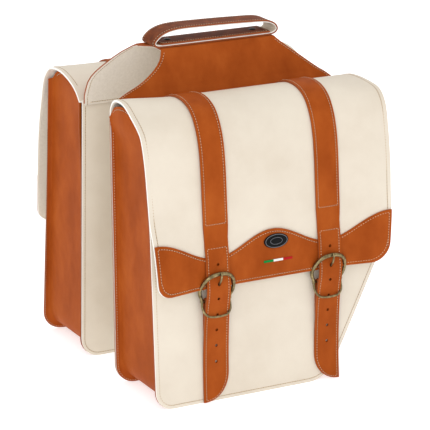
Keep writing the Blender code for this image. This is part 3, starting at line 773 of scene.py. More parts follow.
# the flap is one sheet from the seam, over the mouth and down to the hem
flap = {
    "topHalf": 178 * mm,
    "hemHalf": 176.5 * mm,
    "thickness": 3.0 * mm,
    "lining": 0.8 * mm,
    "hemRadii": (17 * mm, 27 * mm),     # rear and front corner
    "ripple": 0.5 * mm,         # the worn leather isn't quite even
    "bend": (4 * mm, 38 * mm),  # it turns between these distances from the back
    "inset": 6 * mm,            # stitches from the side edges
    "seamHalf": 168 * mm,       # half the seam that holds it
    # (u, z) in mm of the outer face at the straps and at the two side edges
    "rightMiddle": [(-1, 376.5), (6, 389), (20, 400), (45, 406), (70, 404), (90, 394), (104, 375),
                    (113, 350), (118, 318), (121, 284), (124, 250), (127, 210), (129.5, 163)],
    "leftMiddle": [(-7.5, 376.5), (0, 388), (14, 400), (38, 408), (64, 409.5), (86, 401),
                   (102, 382), (112, 356), (118, 320), (121, 284), (124, 250), (127, 210),
                   (129.5, 163)],
    "rightRearEdge": [(-1, 376.5), (0, 388), (6, 399), (19, 405.5), (42, 404), (65, 392),
                      (86, 378), (96, 364), (105, 330), (112, 282), (117, 255), (126, 231),
                      (134, 200), (141.5, 163)],
    "rightFrontEdge": [(-1, 376.5), (6, 391), (22, 401), (49, 404), (80, 403), (103, 399),
                       (117, 387), (125.5, 365), (136, 309), (141, 262), (143.5, 237),
                       (142, 195), (139, 163)],
    "leftRearEdge": [(-7.5, 376.5), (-1, 384), (6, 390), (16, 396), (34, 402.5), (56, 406.9),
                     (81, 406), (96, 401.5), (107, 392), (116, 379), (126, 348), (134, 321),
                     (141, 286), (145.5, 247), (147.5, 225), (149, 163)],
    "leftFrontEdge": [(-7.5, 376.5), (2, 391), (18, 401), (45, 407), (76, 406), (98, 398),
                      (111, 382), (121, 356), (128, 309), (134, 262), (139, 210), (142, 163)],
}


def readProfile(name, count=121):
    line = Line(smoothCurve(inMm(flap[name]), 6))
    return [line.at(line.total * k / (count - 1)) for k in range(count)]


class FlapShape:
    # the flap's outer surface, read by x and by the share t of its length from the seam

    def __init__(self, side, label):
        self.side = side
        self.middle = readProfile(label + "Middle")
        self.rear = readProfile(label + "RearEdge")
        self.front = readProfile(label + "FrontEdge")
        self.length = Line(self.middle).total

    def profile(self, x, t):
        k = min(max(t, 0.0), 1.0) * (len(self.middle) - 1)
        i = min(int(k), len(self.middle) - 2)
        base = self.middle[i].lerp(self.middle[i + 1], k - i)
        edge = self.rear if x < 0 else self.front
        outer = edge[i].lerp(edge[i + 1], k - i)
        return base.lerp(outer, smoothStep(92 * mm, flap["topHalf"], abs(x)))

    def at(self, x, t, lift=0.0):
        reach = 0.006
        ahead = (self.profile(x, t + reach) - self.profile(x, t - reach)).normalized()
        spot = self.profile(x, t) + Vector((-ahead.y, ahead.x)) * lift
        return onBag(self.side, x, spot.x, spot.y)

    def shareAtHeight(self, x, z):
        # the lower crossing of a height, found from the hem upwards
        low, high = 0.45, 1.0
        for step in range(24):
            middle = (low + high) / 2
            if self.profile(x, middle).y > z:
                low = middle
            else:
                high = middle
        return high

    def half(self, t):
        loss = flap["topHalf"] - flap["hemHalf"]
        return flap["topHalf"] - loss * smoothStep(0.35, 0.9, t)

    def cut(self, x, t, inset=0.0):
        # the rounded lower corners, as a share of the length taken off near the side edges
        radius = flap["hemRadii"][int(x > 0)]
        near = max(radius - (self.half(1) - inset - abs(x)), 0)
        return (radius - math.sqrt(max(radius ** 2 - near ** 2, 0))) / self.length


def acrossColumns(half, count):
    # places across the flap, closer together at the side edges where its corners are round
    edge = [0, 0.3 * mm, 1.2 * mm, 2.7 * mm, 5 * mm, 8 * mm, 12 * mm, 17 * mm, 22.5 * mm]
    inner = half - edge[-1]
    middle = [-inner + 2 * inner * k / count for k in range(count + 1)]
    return [-half + e for e in edge[:-1]] + middle + [half - e for e in reversed(edge[:-1])]


def buildFlap(side, label, shape):
    rows, count = 76, 29
    columns = len(acrossColumns(flap["topHalf"], count))

    def placeOn(lift, trim):
        def place(row, column):
            t = row / (rows - 1)
            x = acrossColumns(shape.half(t) - trim, count)[column]
            t = t * (1 - trim / shape.length)
            t -= shape.cut(x, t, trim) * smoothStep(0.88, 1, t)
            ripple = math.sin(x / (31 * mm) + 2 * side) * math.sin(9 * t)
            return shape.at(x, t, lift + flap["ripple"] * ripple * smoothStep(0.2, 0.5, t))
        return place

    under = -flap["thickness"] - hair
    cover = layOut(label + "Flap", rows, columns, placeOn(0, 0), (0, side, 0.2))
    finishSheet(cover, flap["thickness"], creamLeather, creamEdge, bevel=0.5 * mm)
    lining = layOut(label + "FlapLining", rows, columns, placeOn(under, 1.6 * mm), (0, side, 0.2))
    finishSheet(lining, flap["lining"], textile, textile, bevel=0.2 * mm)
    places = []
    for way in (-1, 1):
        steps = [(way * (shape.half(t) - flap["inset"]), t) for t in along(0.07, 0.86, 90)]
        places += sewAlong(shape.at, steps)
    half = flap["seamHalf"]
    places += sewAlong(shape.at, [(x, 0.014) for x in along(-half, half, 60)])
    thread = makeThread(label + "FlapThread", places, threadOnCream)
    bendAtFold(cover, side, label, "cream_leather", label + "_flap_root", label + "_flap_cover")
    bendAtFold(lining, side, label, "grey_textile", label + "_flap_lining")
    bendAtFold(thread, side, label, "cream_leather")


def bendAtFold(piece, side, label, slot, *nodes):
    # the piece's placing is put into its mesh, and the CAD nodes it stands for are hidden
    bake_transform(piece)
    if nodes:
        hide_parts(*nodes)


hem = {
    "thickness": 1.8 * mm,
    "meanTop": 217 * mm,
    "wave": 14 * mm,
    "halfWave": 86 * mm,
    "frontLift": 6.5 * mm,      # the wave ends higher at the heel side
    "inset": 4 * mm,
}


def hemTop(x):
    height = hem["meanTop"] + hem["wave"] * math.cos(math.pi * x / hem["halfWave"])
    return height + hem["frontLift"] * smoothStep(90 * mm, 172 * mm, x)


def buildHem(side, label, shape):
    half = shape.half(1)
    across = acrossColumns(half, 62)
    rows = 18

    def hemFace(x, t, lift):
        return shape.at(x, t, 0.15 * mm + hem["thickness"] + lift)

    def place(row, column):
        x = across[column]
        high = shape.shareAtHeight(x, hemTop(x))
        v = row / (rows - 1)
        t = high + (1 - high) * v
        return hemFace(x, t - shape.cut(x, t) * smoothStep(0.3, 1, v), 0)

    band = layOut(label + "HemBand", rows, len(across), place, (0, side, 0))
    finishSheet(band, hem["thickness"], tanLeather, tanEdge, bevel=0.45 * mm)
    fit(band, label + "_flap", "tan_leather", label + "_hem_band")
    inset = hem["inset"]
    left = half - inset
    top = [(x, shape.shareAtHeight(x, hemTop(x) - inset)) for x in along(-left, left, 120)]
    low = 1 - inset / shape.length
    bottom = [(x, low - shape.cut(x, 1, inset)) for x in along(-left, left, 120)]
    sides = [[(way * left, t) for t in along(top[0][1], bottom[0][1], 20)] for way in (-1, 1)]
    places = []
    for run in [top, bottom] + sides:
        places += sewAlong(hemFace, run)
    sewOn(label + "HemThread", places, threadOnTan, label + "_flap", "tan_leather")
    if side < 0:
        buildBadge(faceOn(side, shape, hemFace, badge))
        buildRibbon(faceOn(side, shape, hemFace, ribbon))


strap = {
    "width": 37 * mm,
    "thickness": 2.6 * mm,
    "x": 86 * mm,
    "inset": 3.4 * mm,          # stitches from the edge
    "upperEnd": 249.5 * mm,     # cross stitches that end the sewn part
    "tailStart": 217 * mm,      # cross stitches that start the tail
    "tipLength": 40 * mm,
    # (height, width across, width up and down) in mm; the prong has worn its own hole long
    "holes": [(195.5, 4.2, 4.2), (169, 4.4, 5.4), (148, 4.2, 4.2), (124.5, 4.2, 4.2),
              (102.5, 4.2, 4.2), (80, 4.2, 4.2), (57, 4.2, 4.2)],
    "dome": 0.5 * mm,           # the worn strap cups a little across its width
    "seamStart": 4 * mm,
    "stiff": 60 * mm,           # it keeps its full width so far from the seam
    # width at heights, in mm: narrow through the buckle, spread again at the tip
    "widths": [(0, 38.5), (60, 38), (110, 37.2), (150, 35.5), (190, 34.8), (228, 34.8),
               (247, 36.6), (400, 37)],
    # inner face of the free tail, (u, z) in mm
    "tail": [(125.6, 229), (127.4, 217), (130.0, 204), (131.0, 190), (131.9, 184), (133.2, 176),
             (134.4, 168), (134.6, 160), (133.8, 152), (132.3, 145), (131.0, 138), (129.6, 128),
             (127.8, 114), (126.8, 97), (126.0, 78), (125.8, 55), (126.6, 28), (128.5, 0.8)],
}


def strapLine(shape, centre):
    # the strap's inner face: on the flap down to its sewn end, then out through the buckle
    upper = []
    for t in along(0.012, shape.shareAtHeight(centre, 238 * mm), 60):
        spot = shape.at(centre, t, 0.2 * mm)
        upper.append(Vector((abs(spot.y) - bag["halfGap"], spot.z)))
    return Line(upper + smoothCurve(inMm(strap["tail"]), 4))


def heightOn(line, z):
    for i in range(len(line.points) - 1, 0, -1):
        low, high = line.points[i].y, line.points[i - 1].y
        if low <= z < high:
            start, stop = line.lengths[i - 1], line.lengths[i]
            return start + (high - z) / (high - low) * (stop - start)
    return line.total


def buildStrap(side, label, end, shape):
    outward = ends[end]
    centre = strap["x"] * outward
    line = strapLine(shape, centre)
    half, tip, inset = strap["width"] / 2, strap["tipLength"], strap["inset"]
    widths = inMm(strap["widths"])

    def surface(x, s, lift):
        p = line.offset(s, strap["thickness"] + lift)
        dome = strap["dome"] * (1 - (x / half) ** 2)
        spread = fromTable(widths, p.y) / strap["width"] if s > strap["stiff"] else 1
        return onBag(side, centre + x * spread, p.x + dome, p.y)

    def tipCut(x, inset=0.0):
        # a quarter round that runs down to the tail's outer edge
        share = (half - inset - outward * x) / (2 * (half - inset))
        return (tip - inset) * (1 - math.sqrt(max(1 - share ** 2.2, 0)))

    edge = [0, 0.3 * mm, 1.1 * mm, 2.6 * mm, 5 * mm, 8.5 * mm, 13 * mm]
    acrosses = [-half + e for e in edge] + [0] + [half - e for e in reversed(edge)]
    rows = 150

    def place(row, column):
        x = acrosses[column]
        s = line.total * row / (rows - 1)
        s -= tipCut(x) * smoothStep(line.total - 2.2 * tip, line.total, s)
        return surface(x, s, 0)

    name = label + end.capitalize() + "Strap"
    piece = layOut(name, rows, len(acrosses), place, (0, side, 0))
    finishSheet(piece, strap["thickness"], tanLeather, tanEdge, bevel=0.5 * mm)
    for z, width, height in inMm(strap["holes"]):
        p = line.at(heightOn(line, z))
        cutOut(piece, newShape(bpy.ops.mesh.primitive_cylinder_add, scale=(width, height, 1),
                               vertices=20, radius=0.5, depth=12 * mm,
                               location=onBag(side, centre, p.x, p.y),
                               rotation=(math.pi / 2, 0, 0)))

    reach = half - inset
    upperEnd, tailStart = (heightOn(line, strap[at]) for at in ("upperEnd", "tailStart"))

    def tipLine(x):
        return line.total - inset * 0.8 - tipCut(x, inset)

    runs = [[(x, s) for x in along(-reach, reach, 12)] for s in (upperEnd, tailStart)]
    for x in (-reach, reach):
        runs.append([(x, s) for s in along(strap["seamStart"], upperEnd, 90)])
        runs.append([(x, s) for s in along(tailStart, tipLine(x), 70)])
    share = [math.sin(math.pi / 2 * k / 40) for k in range(41)]
    runs.append([(x, tipLine(x)) for x in [outward * reach * (1 - 2 * a) for a in share]])
    thread = makeThread(name + "Thread", [spot for run in runs for spot in sewAlong(surface, run)],
                        threadOnTan)
    bendAtFold(piece, side, label, "tan_leather", f"{label}_{end}_strap",
               f"{label}_{end}_strap_tail")
    bendAtFold(thread, side, label, "tan_leather")


buckle = {
    "barU": 127 * mm,
    "barZ": 145 * mm,
    "barRadius": 2 * mm,
    "half": 20.6 * mm,
    "knuckleRadius": 2.5 * mm,
    "knuckleLength": 4.4 * mm,
    "eyeRadius": 1.5 * mm,      # of the prong's eye round the bar
    # upper arc: (x, u, z, radius) in mm from the bar's centre, for its front half
    "arc": [(20.6, 0, 0, 2.0), (21.6, 0.2, 3.5, 2.1), (24.2, 0.9, 9, 2.6), (25.2, 2.6, 16, 2.7),
            (23.4, 6.2, 24.6, 2.7), (18.8, 9.6, 32.2, 2.7), (11.2, 11.6, 37.4, 2.8),
            (0, 12.3, 39.4, 2.8)],
    # lower loop
    "loop": [(20.6, 0.2, -1, 1.8), (21.0, 1.2, -7, 1.6), (19.8, 4.6, -14.5, 1.6),
             (14.6, 7.6, -19.9, 1.6), (7.0, 8.6, -21.5, 1.6), (0, 8.8, -21.8, 1.6)],
    # prong: (u, z, radius) in mm from the bar's centre
    "prong": [(1.6, 3.2, 1.6), (4.2, 12, 1.5), (5.6, 17.4, 1.5), (7.6, 21.8, 1.5),
              (11.2, 25.6, 1.5), (14.6, 29.6, 1.5), (16.6, 34.6, 1.5), (17.0, 39, 1.4),
              (16.2, 42.6, 1.2)],
}


def drawRod(points, closed=False):
    # a round rod through (x, y, z, radius) points, turned into a mesh
    deselectAll()
    bpy.ops.curve.primitive_nurbs_path_add()
    piece = bpy.context.object
    piece.location = (0, 0, 0)
    curve = piece.data
    curve.splines.clear()
    curve.bevel_depth = 1
    curve.bevel_resolution = 4
    curve.use_fill_caps = not closed
    spline = curve.splines.new("POLY")
    spline.points.add(len(points) - 1)
    for point, (x, y, z, radius) in zip(spline.points, points):
        point.co = (x, y, z, 1)
        point.radius = radius
    spline.use_cyclic_u = closed
    makeActive(piece)
    bpy.ops.object.convert(target="MESH")
    return bpy.context.object


def fuse(pieces, name, voxel):
    # the rods of one casting are melted together, as the mould would
    whole = joined(pieces, name)
    shapeWith(whole, "REMESH", mode="VOXEL", voxel_size=voxel, adaptivity=0)
    shapeWith(whole, "SMOOTH", factor=0.5, iterations=4)
    bpy.ops.object.shade_smooth()
    whole.data.materials.clear()
    whole.data.materials.append(antiqueBrass)
    return whole


def modelBuckle():
    half, radius = buckle["half"], buckle["barRadius"]
    rods = [drawRod([(-half, 0, 0, radius), (half, 0, 0, radius)])]
    for name in ("arc", "loop"):
        front = smoothCurve([Vector(p) * mm for p in buckle[name]], 5)
        rods.append(drawRod(front + [Vector((-p[0], *p[1:])) for p in reversed(front[:-1])]))
    for way in (-1, 1):
        rods.append(newShape(bpy.ops.mesh.primitive_cylinder_add, vertices=24,
                             radius=buckle["knuckleRadius"], depth=buckle["knuckleLength"],
                             location=(way * half, 0, 0), rotation=(0, math.pi / 2, 0)))
    return fuse(rods, "buckleFrame", 0.45 * mm)


def modelProng():
    reach = buckle["barRadius"] + 1.7 * mm
    turns = [2 * math.pi * k / 20 for k in range(20)]
    eye = [(0, reach * math.cos(a), reach * math.sin(a), buckle["eyeRadius"]) for a in turns]
    pin = smoothCurve([Vector((0, *p)) * mm for p in buckle["prong"]], 4)
    return fuse([drawRod(eye, closed=True), drawRod(pin)], "buckleProng", 0.35 * mm)


def copyPiece(model, name, place):
    piece = model.copy()
    piece.data = model.data.copy()
    piece.name = piece.data.name = name
    bpy.context.scene.collection.objects.link(piece)
    piece.data.transform(place)
    return piece


def buildBuckles():
    frameModel, prongModel = modelBuckle(), modelProng()
    for label, side in sides.items():
        for end, way in ends.items():
            turn = Matrix.Rotation(math.pi if side < 0 else 0, 4, "Z")
            centre = onBag(side, strap["x"] * way, buckle["barU"], buckle["barZ"])
            place = Matrix.Translation(centre) @ turn
            for model, part, body in ((frameModel, "frame", "buckle"),
                                      (prongModel, "prong", "prong")):
                name = label + end.capitalize() + "Buckle" + part.capitalize()
                fit(copyPiece(model, name, place), f"{label}_{end}_{body}", "old_brass",
                    f"{label}_{end}_buckle_{part}")
    for model in (frameModel, prongModel):
        bpy.data.objects.remove(model, do_unlink=True)


chape = {
    "width": 34 * mm,
    "thickness": 1.6 * mm,
    "mouth": (6 * mm, 16 * mm, 17 * mm),        # cut out for the prong
    # (height at the panel, distance from it, height) of its back and front runs, in mm
    "back": [(97, 0.2, 97), (118, 0.2, 118), (131, 1.4, 131)],
    "front": [(118, 4.1, 121), (110, 3.7, 110), (97, 3.6, 97)],
    "inset": 3 * mm,
    "seam": 22 * mm,            # height of the sewn part
}


def buildChape(side, label, end):
    # the tab goes up the panel, round the buckle's bar and down again, sewn through both layers
    centre = strap["x"] * ends[end]
    thickness = chape["thickness"]
    reach = buckle["barRadius"] + 0.35 * mm + thickness
    name = label + end.capitalize() + "Chape"

    def run(part):
        return [(frontDepth(side, centre, at) + out, z) for at, out, z in inMm(chape[part])]

    bend = [(buckle["barU"] + reach * math.cos(a), buckle["barZ"] + reach * math.sin(a))
            for a in [math.radians(200 - 20 * k) for k in range(12)]]
    line = Line(smoothCurve(run("back") + bend + run("front"), 3))
    rows, columns = 60, 9

    def surface(x, s, lift):
        p = line.offset(s, lift)
        return onBag(side, centre + x, p.x, p.y)

    def place(row, column):
        x = chape["width"] * (column / (columns - 1) - 0.5)
        return surface(x, line.total * row / (rows - 1), 0)

    piece = layOut(name, rows, columns, place, (0, side * 0.2, 1))
    finishSheet(piece, thickness, tanLeather, tanEdge)
    middle = onBag(side, centre, buckle["barU"], buckle["barZ"] + 1 * mm)
    cutOut(piece, newShape(bpy.ops.mesh.primitive_cube_add, scale=chape["mouth"], size=1,
                           location=middle))
    half = chape["width"] / 2 - chape["inset"]
    top, low = line.total - chape["seam"], line.total - chape["inset"]
    places = sewAlong(surface, [(x, low) for x in along(-half, half, 10)])
    for x in (-half, half):
        places += sewAlong(surface, [(x, s) for s in along(top, low, 10)])
    fit(piece, label + "_bag", "tan_leather", f"{label}_{end}_chape")
    sewOn(name + "Thread", places, threadOnTan, label + "_bag", "tan_leather")


badge = {
    "x": 4 * mm,
    "z": 214 * mm,
    "halfLength": 18.6 * mm,
    "halfHeight": 10 * mm,
    "thickness": 2.2 * mm,
    "dome": 1.4 * mm,
    # (half length, half height) as shares of the plate, and radius, of each inlaid ring
    "rings": [(0.879, 0.88, 0.42 * mm), (0.484, 0.46, 0.3 * mm)],
}
ribbon = {"x": 7 * mm, "z": 187 * mm, "length": 44 * mm, "height": 3.2 * mm, "thickness": 0.8 * mm}


def faceOn(side, shape, hemFace, trim):
    # where a flat trim lies on the hem band: its own +Z is the way the band faces
    t = shape.shareAtHeight(trim["x"], trim["z"])
    reach = 0.012
    spot = hemFace(trim["x"], t, hair)
    up = (hemFace(trim["x"], t - reach, 0) - hemFace(trim["x"], t + reach, 0)).normalized()
    right = Vector((-side, 0, 0))
    out = right.cross(up).normalized()
    return Matrix.Translation(spot) @ Matrix((right, up, out)).transposed().to_4x4()


def roundOff(piece, place, material, **bevel):
    # rounds a trim's edges, lays it on the hem band and gives it its finish
    shapeWith(piece, "BEVEL", **bevel)
    bpy.ops.object.shade_smooth_by_angle(angle=math.radians(40))
    piece.data.transform(place)
    piece.data.materials.append(material)


def buildBadge(place):
    thickness = badge["thickness"]
    plate = newShape(bpy.ops.mesh.primitive_cylinder_add, "rightBadge",
                     (badge["halfLength"], badge["halfHeight"], 1), vertices=64, radius=1,
                     depth=thickness, location=(0, 0, thickness / 2))
    roundOff(plate, place, blackEnamel, width=badge["dome"], segments=4, limit_method="ANGLE")
    fit(plate, "right_flap", "black_enamel", "right_badge")
    rings = []
    turns = [2 * math.pi * k / 48 for k in range(48)]
    for length, height, radius in badge["rings"]:
        rings.append(drawRod([(badge["halfLength"] * length * math.cos(a),
                               badge["halfHeight"] * height * math.sin(a),
                               thickness + 0.05 * mm, radius) for a in turns], closed=True))
    inlay = joined(rings, "rightBadgeInlay")
    bpy.ops.object.shade_smooth()
    inlay.data.transform(place)
    inlay.data.materials.append(silverRim)
    fit(inlay, "right_flap", "black_enamel")


def buildRibbon(place):
    piece = newShape(bpy.ops.mesh.primitive_cube_add, "rightWovenLabel",
                     (ribbon["length"], ribbon["height"], ribbon["thickness"]), size=1,
                     location=(0, 0, ribbon["thickness"] / 2))
    roundOff(piece, place, paintRibbon(ribbon["x"], ribbon["length"] / 3), width=0.3 * mm,
             segments=3)
    fit(piece, "right_flap", "woven_ribbon", "right_woven_label")


for label, side in sides.items():
    shape = FlapShape(side, label)
    buildBack(side, label)
    buildGusset(side, label)
    buildFront(side, label)
    buildFlap(side, label, shape)
    buildHem(side, label, shape)
    for end in ends:
        buildStrap(side, label, end, shape)
        buildChape(side, label, end)
    print(label, "bag sewn")
buildBuckles()
print("buckles cast")


bridge = {
    "top": 454 * mm,
    "thickness": 2.2 * mm,
    "lining": 1.0 * mm,
    "tabEnd": 372 * mm,
    "farCrest": 3 * mm,         # the far fold stands a little higher than the flat top
    "topHalf": 86 * mm,
    "inset": 4.2 * mm,          # stitches from the side edge
    "edgeSeam": 26 * mm,        # they start this far from the middle of the top
    "tabSeam": (165 * mm, 3.6 * mm),    # half length, and height over the tab's end
    # (height, half width) in mm of its side edges, with a rear edge for each half
    "rightRear": [(366, 171), (385, 170.5), (392, 167.5), (396, 163.5), (400, 157), (405, 145),
                  (410, 132), (417, 118), (425, 106), (432, 97.5), (440, 91), (448, 87.5),
                  (456, 86)],
    "leftRear": [(366, 173), (396, 173), (405, 172), (411, 169.5), (417, 165), (424, 157),
                 (435, 141.5), (443, 129), (450, 114), (453, 105), (457, 98)],
    "front": [(366, 171), (385, 170.5), (393, 167.5), (400, 159), (406, 149), (416.6, 135),
              (429, 119), (443, 100.5), (450, 92), (456, 87)],
}


def bridgeLine(side):
    # (y, z) of the outer face from the middle of the top down to the end of the sewn tab
    y = bag["halfGap"] + backLean(side, bridge["tabEnd"])
    crest = bridge["top"] + (bridge["farCrest"] if side > 0 else 0)
    corners = [(0, bridge["top"]), (17 * mm, bridge["top"]), (22.5 * mm, crest),
               (y - 9.5 * mm, 403 * mm), (y - 1.6 * mm, 386 * mm), (y - 0.4 * mm, bridge["tabEnd"])]
    return Line(spacedOut(roundCorners(corners, [0, 0, 4 * mm, 40 * mm, 14 * mm, 0], 6), 7 * mm))


def buildBridgeHalf(label, side):
    line = bridgeLine(side)
    stops = line.lengths
    columns = 25
    tables = {-1: inMm(bridge[label + "Rear"]), 1: inMm(bridge["front"])}
    under = -bridge["thickness"] - hair

    def halfAt(way, s):
        # on the flat top under the handle both halves have the handle's own width
        top = bridge["topHalf"]
        return top + (fromTable(tables[way], line.at(s).y) - top) * smoothStep(4 * mm, 19 * mm, s)

    def placeOn(lift, trim, end):
        def place(row, column):
            share = 2 * column / (columns - 1) - 1
            s = min(stops[row], end)
            p = line.offset(s, lift)
            x = share * (halfAt(1 if share > 0 else -1, s) - trim)
            return Vector((x, side * p.x, p.y))
        return place

    outward = (0, side, 0.4)
    cover = layOut(label + "BridgeCover", len(stops), columns, placeOn(0, 0, line.total - 2 * mm),
                   outward)
    finishSheet(cover, bridge["thickness"], tanLeather, tanEdge)
    lining = layOut(label + "BridgeLining", len(stops), columns,
                    placeOn(under, 0.5 * mm, line.total), outward)
    finishSheet(lining, bridge["lining"], textile, textile, bevel=0.2 * mm)

    def seamOn(lifted):
        # lifted gives the height of the stitches over the bridge's outer face
        def seam(x, s, lift):
            p = line.offset(s, lifted(lift))
            return Vector((x, side * p.x, p.y))

        def edge(x, s, lift):
            # x is the distance in from the side edge, with its sign for which edge
            half = halfAt(1 if x > 0 else -1, s)
            return seam(math.copysign(half - abs(x), x), s, lift)

        places = []
        for x in (-bridge["inset"], bridge["inset"]):
            run = [(x, s) for s in along(bridge["edgeSeam"], line.total - 1 * mm, 50)]
            places += sewAlong(edge, run)
        half, low = bridge["tabSeam"]
        return places + sewAlong(seam, [(x, line.total - low) for x in along(-half, half, 60)])

    deep = under - bridge["lining"]
    above = makeThread(label + "BridgeCoverThread", seamOn(lambda lift: lift), threadOnTan)
    below = makeThread(label + "BridgeLiningThread", seamOn(lambda lift: deep - lift),
                       threadOnCream)
    for piece, slot in ((cover, "tan_leather"), (lining, "grey_textile"), (above, "tan_leather"),
                        (below, "grey_textile")):
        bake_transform(piece)
    return cover, lining


nearCover, nearLining = buildBridgeHalf("right", -1)
buildBridgeHalf("left", 1)
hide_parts("bridge_cover")
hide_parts("bridge_lining")

handle = {
    "width": 37 * mm,
    "thickness": 1.9 * mm,
    "lining": 1.3 * mm,
    "inset": 3 * mm,
    "seamEnd": 78 * mm,         # its stitches stop this far from the middle of the lower run
    # (x, z) in mm of the band's outer face, anticlockwise from the middle of its lower run
    "loop": [(0, 454.4), (30, 454.4), (60, 454.4), (80, 454.5), (90, 455.6), (95.6, 459.4),
             (96.4, 464.6), (92.4, 470.4), (84, 474.6), (72, 476.8), (50, 477.8), (20, 478.8),
             (-20, 479.6), (-50, 479.8), (-68, 478.2), (-82, 473.8), (-91, 467.4), (-95, 461.4),
             (-92.6, 456.4), (-84, 454.6), (-60, 454.4), (-30, 454.4)],
}


def buildHandle():
    ring = smoothCurve(inMm(handle["loop"]), 4, closed=True)
    loop = Line(ring + [ring[0]])

    def surface(y, s, lift):
        reach = 1.2 * mm
        ahead = loop.at((s + reach) % loop.total) - loop.at((s - reach) % loop.total)
        p = loop.at(s % loop.total) + Vector((ahead.y, -ahead.x)).normalized() * lift
        return Vector((p.x, y, p.y))

    def band(name, lift, width, thickness, face, edge):
        rows, columns = len(ring) + 1, 9

        def place(row, column):
            y = width * (column / (columns - 1) - 0.5)
            return surface(y, loop.lengths[row % len(ring)], lift)

        piece = layOut(name, rows, columns, place, (0, 0, 0))
        editWhole(piece, bpy.ops.mesh.remove_doubles, threshold=0.02 * mm)
        top = max(piece.data.polygons, key=lambda f: f.center.z)
        if top.normal.z < 0:
            editWhole(piece, bpy.ops.mesh.flip_normals)
        return finishSheet(piece, thickness, face, edge)

    thickness, width = handle["thickness"], handle["width"]
    # the strap's darker leather is painted shade, for the little light that falls on it from above
    outer = band("handleStrap", 0, width, thickness, shadedTanLeather, tanEdge)
    fit(outer, "bridge", "tan_leather", "handle_strap")
    inner = band("handleLining", -thickness - hair, width - 0.6 * mm, handle["lining"],
                 creamLeather, creamEdge)
    fit(inner, "bridge", "cream_leather", "handle_lining")
    places = []
    for way in (-1, 1):
        y = way * (width / 2 - handle["inset"])
        start, stop = handle["seamEnd"], loop.total - handle["seamEnd"]
        places += sewAlong(surface, [(y, s) for s in along(start, stop, 120)])
    sewOn("handleThread", places, threadOnTan, "bridge", "tan_leather")


baseStrip = {
    "half": 84 * mm,
    "width": 38 * mm,
    "thickness": 2.4 * mm,
    "dome": 0.4 * mm,
    "inset": 3 * mm,
    "bottom": 457.9 * mm,
    "studX": 66 * mm,
    "stud": (5.2 * mm, 5.2 * mm, 2.2 * mm),     # half sizes
}


def buildBaseStrip():
    half, width = baseStrip["half"], baseStrip["width"] / 2
    top = baseStrip["bottom"] + baseStrip["thickness"]
    columns, rows = 41, 9

    def surface(x, y, lift):
        # a shallow dome along the middle, where the strip lies over the band
        return Vector((x, y, top + lift + baseStrip["dome"] * (1 - (y / width) ** 2)))

    def place(row, column):
        x = half * (2 * column / (columns - 1) - 1)
        y = width * (2 * row / (rows - 1) - 1)
        return surface(x, y, 0)

    strip = layOut("baseStrip", rows, columns, place, (0, 0, 1))
    # the strip's darker leather is painted shade, for the little light that falls on it from above
    finishSheet(strip, baseStrip["thickness"], shadedTanLeather, tanEdge, bevel=0.5 * mm)
    fit(strip, "bridge", "tan_leather", "base_strip")
    x, y = half - baseStrip["inset"], width - baseStrip["inset"]
    places = []
    for way in (-1, 1):
        places += sewAlong(surface, [(a, way * y) for a in along(-x, x, 40)])
        places += sewAlong(surface, [(way * x, b) for b in along(-y, y, 10)])
    sewOn("baseStripThread", places, threadOnTan, "bridge", "tan_leather")
    for end, way in ends.items():
        stud = newShape(bpy.ops.mesh.primitive_uv_sphere_add, end + "Stud", baseStrip["stud"],
                        segments=32, ring_count=16, radius=1,
                        location=(way * baseStrip["studX"], 0, top))
        bpy.ops.object.shade_smooth()
        stud.data.materials.append(blackStud)
        fit(stud, "bridge", "black_enamel", end + "_stud")


buildHandle()
buildBaseStrip()
print("bridge and handle sewn")


studio = {
    "floor": "#DCDCDE",
    "floorGlow": 0.62,          # the lit paper sweep around the bags
    "zenith": 1.12,
    "horizon": 0.68,
    "eye": (-1.4907, -2.8289, 1.1977),
    "target": (0, 0, 0.180),
    "aim": (6.8 * mm, 19.7 * mm),       # right and up from the target
    "lens": 199.5,
    # (name, place, size, watts)
    "lights": [("softBoxFront", (-1.3, -2.6, 1.25), 1.3, 8),
               ("softBoxLeft", (-2.3, -1.9, 1.3), 1.3, 9)],
}


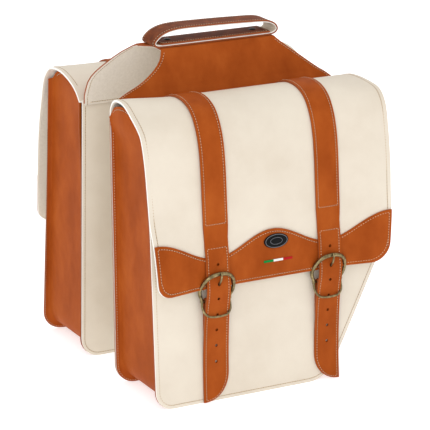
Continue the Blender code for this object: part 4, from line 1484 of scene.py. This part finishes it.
def buildFloor():
    deselectAll()
    bpy.ops.mesh.primitive_plane_add(size=30)
    floor = bpy.context.object
    floor.name = "studioFloor"
    material, tree, shader, coords = newMaterial(
        "paleStudioPaper", studio["floor"], 0.8, Specular_IOR_Level=0.1,
        Emission_Color=(1, 1, 1, 1), Emission_Strength=studio["floorGlow"])
    mottle = addNode(tree, "ShaderNodeTexNoise", {"Scale": 1.5}, {"Vector": coords})
    addNode(tree, "ShaderNodeMix", {6: linear("#DEDEE0"), 7: linear("#D9D9DC")},
            {0: mottle.outputs["Fac"]}, {2: shader["Base Color"]}, data_type="RGBA")
    floor.data.materials.append(material)


def buildStudio():
    buildFloor()
    # the room: pale walls under a brighter ceiling
    world = bpy.context.scene.world or bpy.data.worlds.new("studioWorld")
    bpy.context.scene.world = world
    world.use_nodes = True
    tree = world.node_tree
    coords = addNode(tree, "ShaderNodeTexCoord")
    split = addNode(tree, "ShaderNodeSeparateXYZ", links={0: coords.outputs["Generated"]})
    background = tree.nodes["Background"]
    background.inputs["Color"].default_value = (1, 1, 1, 1)
    addNode(tree, "ShaderNodeMapRange",
            {"From Min": 0.15, "From Max": 0.9, "To Min": studio["horizon"],
             "To Max": studio["zenith"]},
            {"Value": split.outputs["Z"]}, {"Result": background.inputs["Strength"]})
    for name, spot, size, watts in studio["lights"]:
        deselectAll()
        bpy.ops.object.light_add(type="AREA", location=spot)
        light = bpy.context.object
        light.name = name
        light.data.size = size
        light.data.energy = watts
        aim = Vector((0, 0, 0.2)) - Vector(spot)
        light.rotation_euler = aim.to_track_quat("-Z", "Y").to_euler()
    deselectAll()
    eye, target = Vector(studio["eye"]), Vector(studio["target"])
    bpy.ops.object.camera_add(location=eye)
    camera = bpy.context.object
    turn = (target - eye).to_track_quat("-Z", "Y")
    right, up = studio["aim"]
    target += turn @ Vector((right, up, 0))
    camera.rotation_euler = (target - eye).to_track_quat("-Z", "Y").to_euler()
    camera.data.lens = studio["lens"]
    camera.data.sensor_width = 36
    camera.data.clip_end = 40
    bpy.context.scene.camera = camera
    bpy.context.scene.view_settings.view_transform = "Standard"


buildStudio()
print("studio ready")
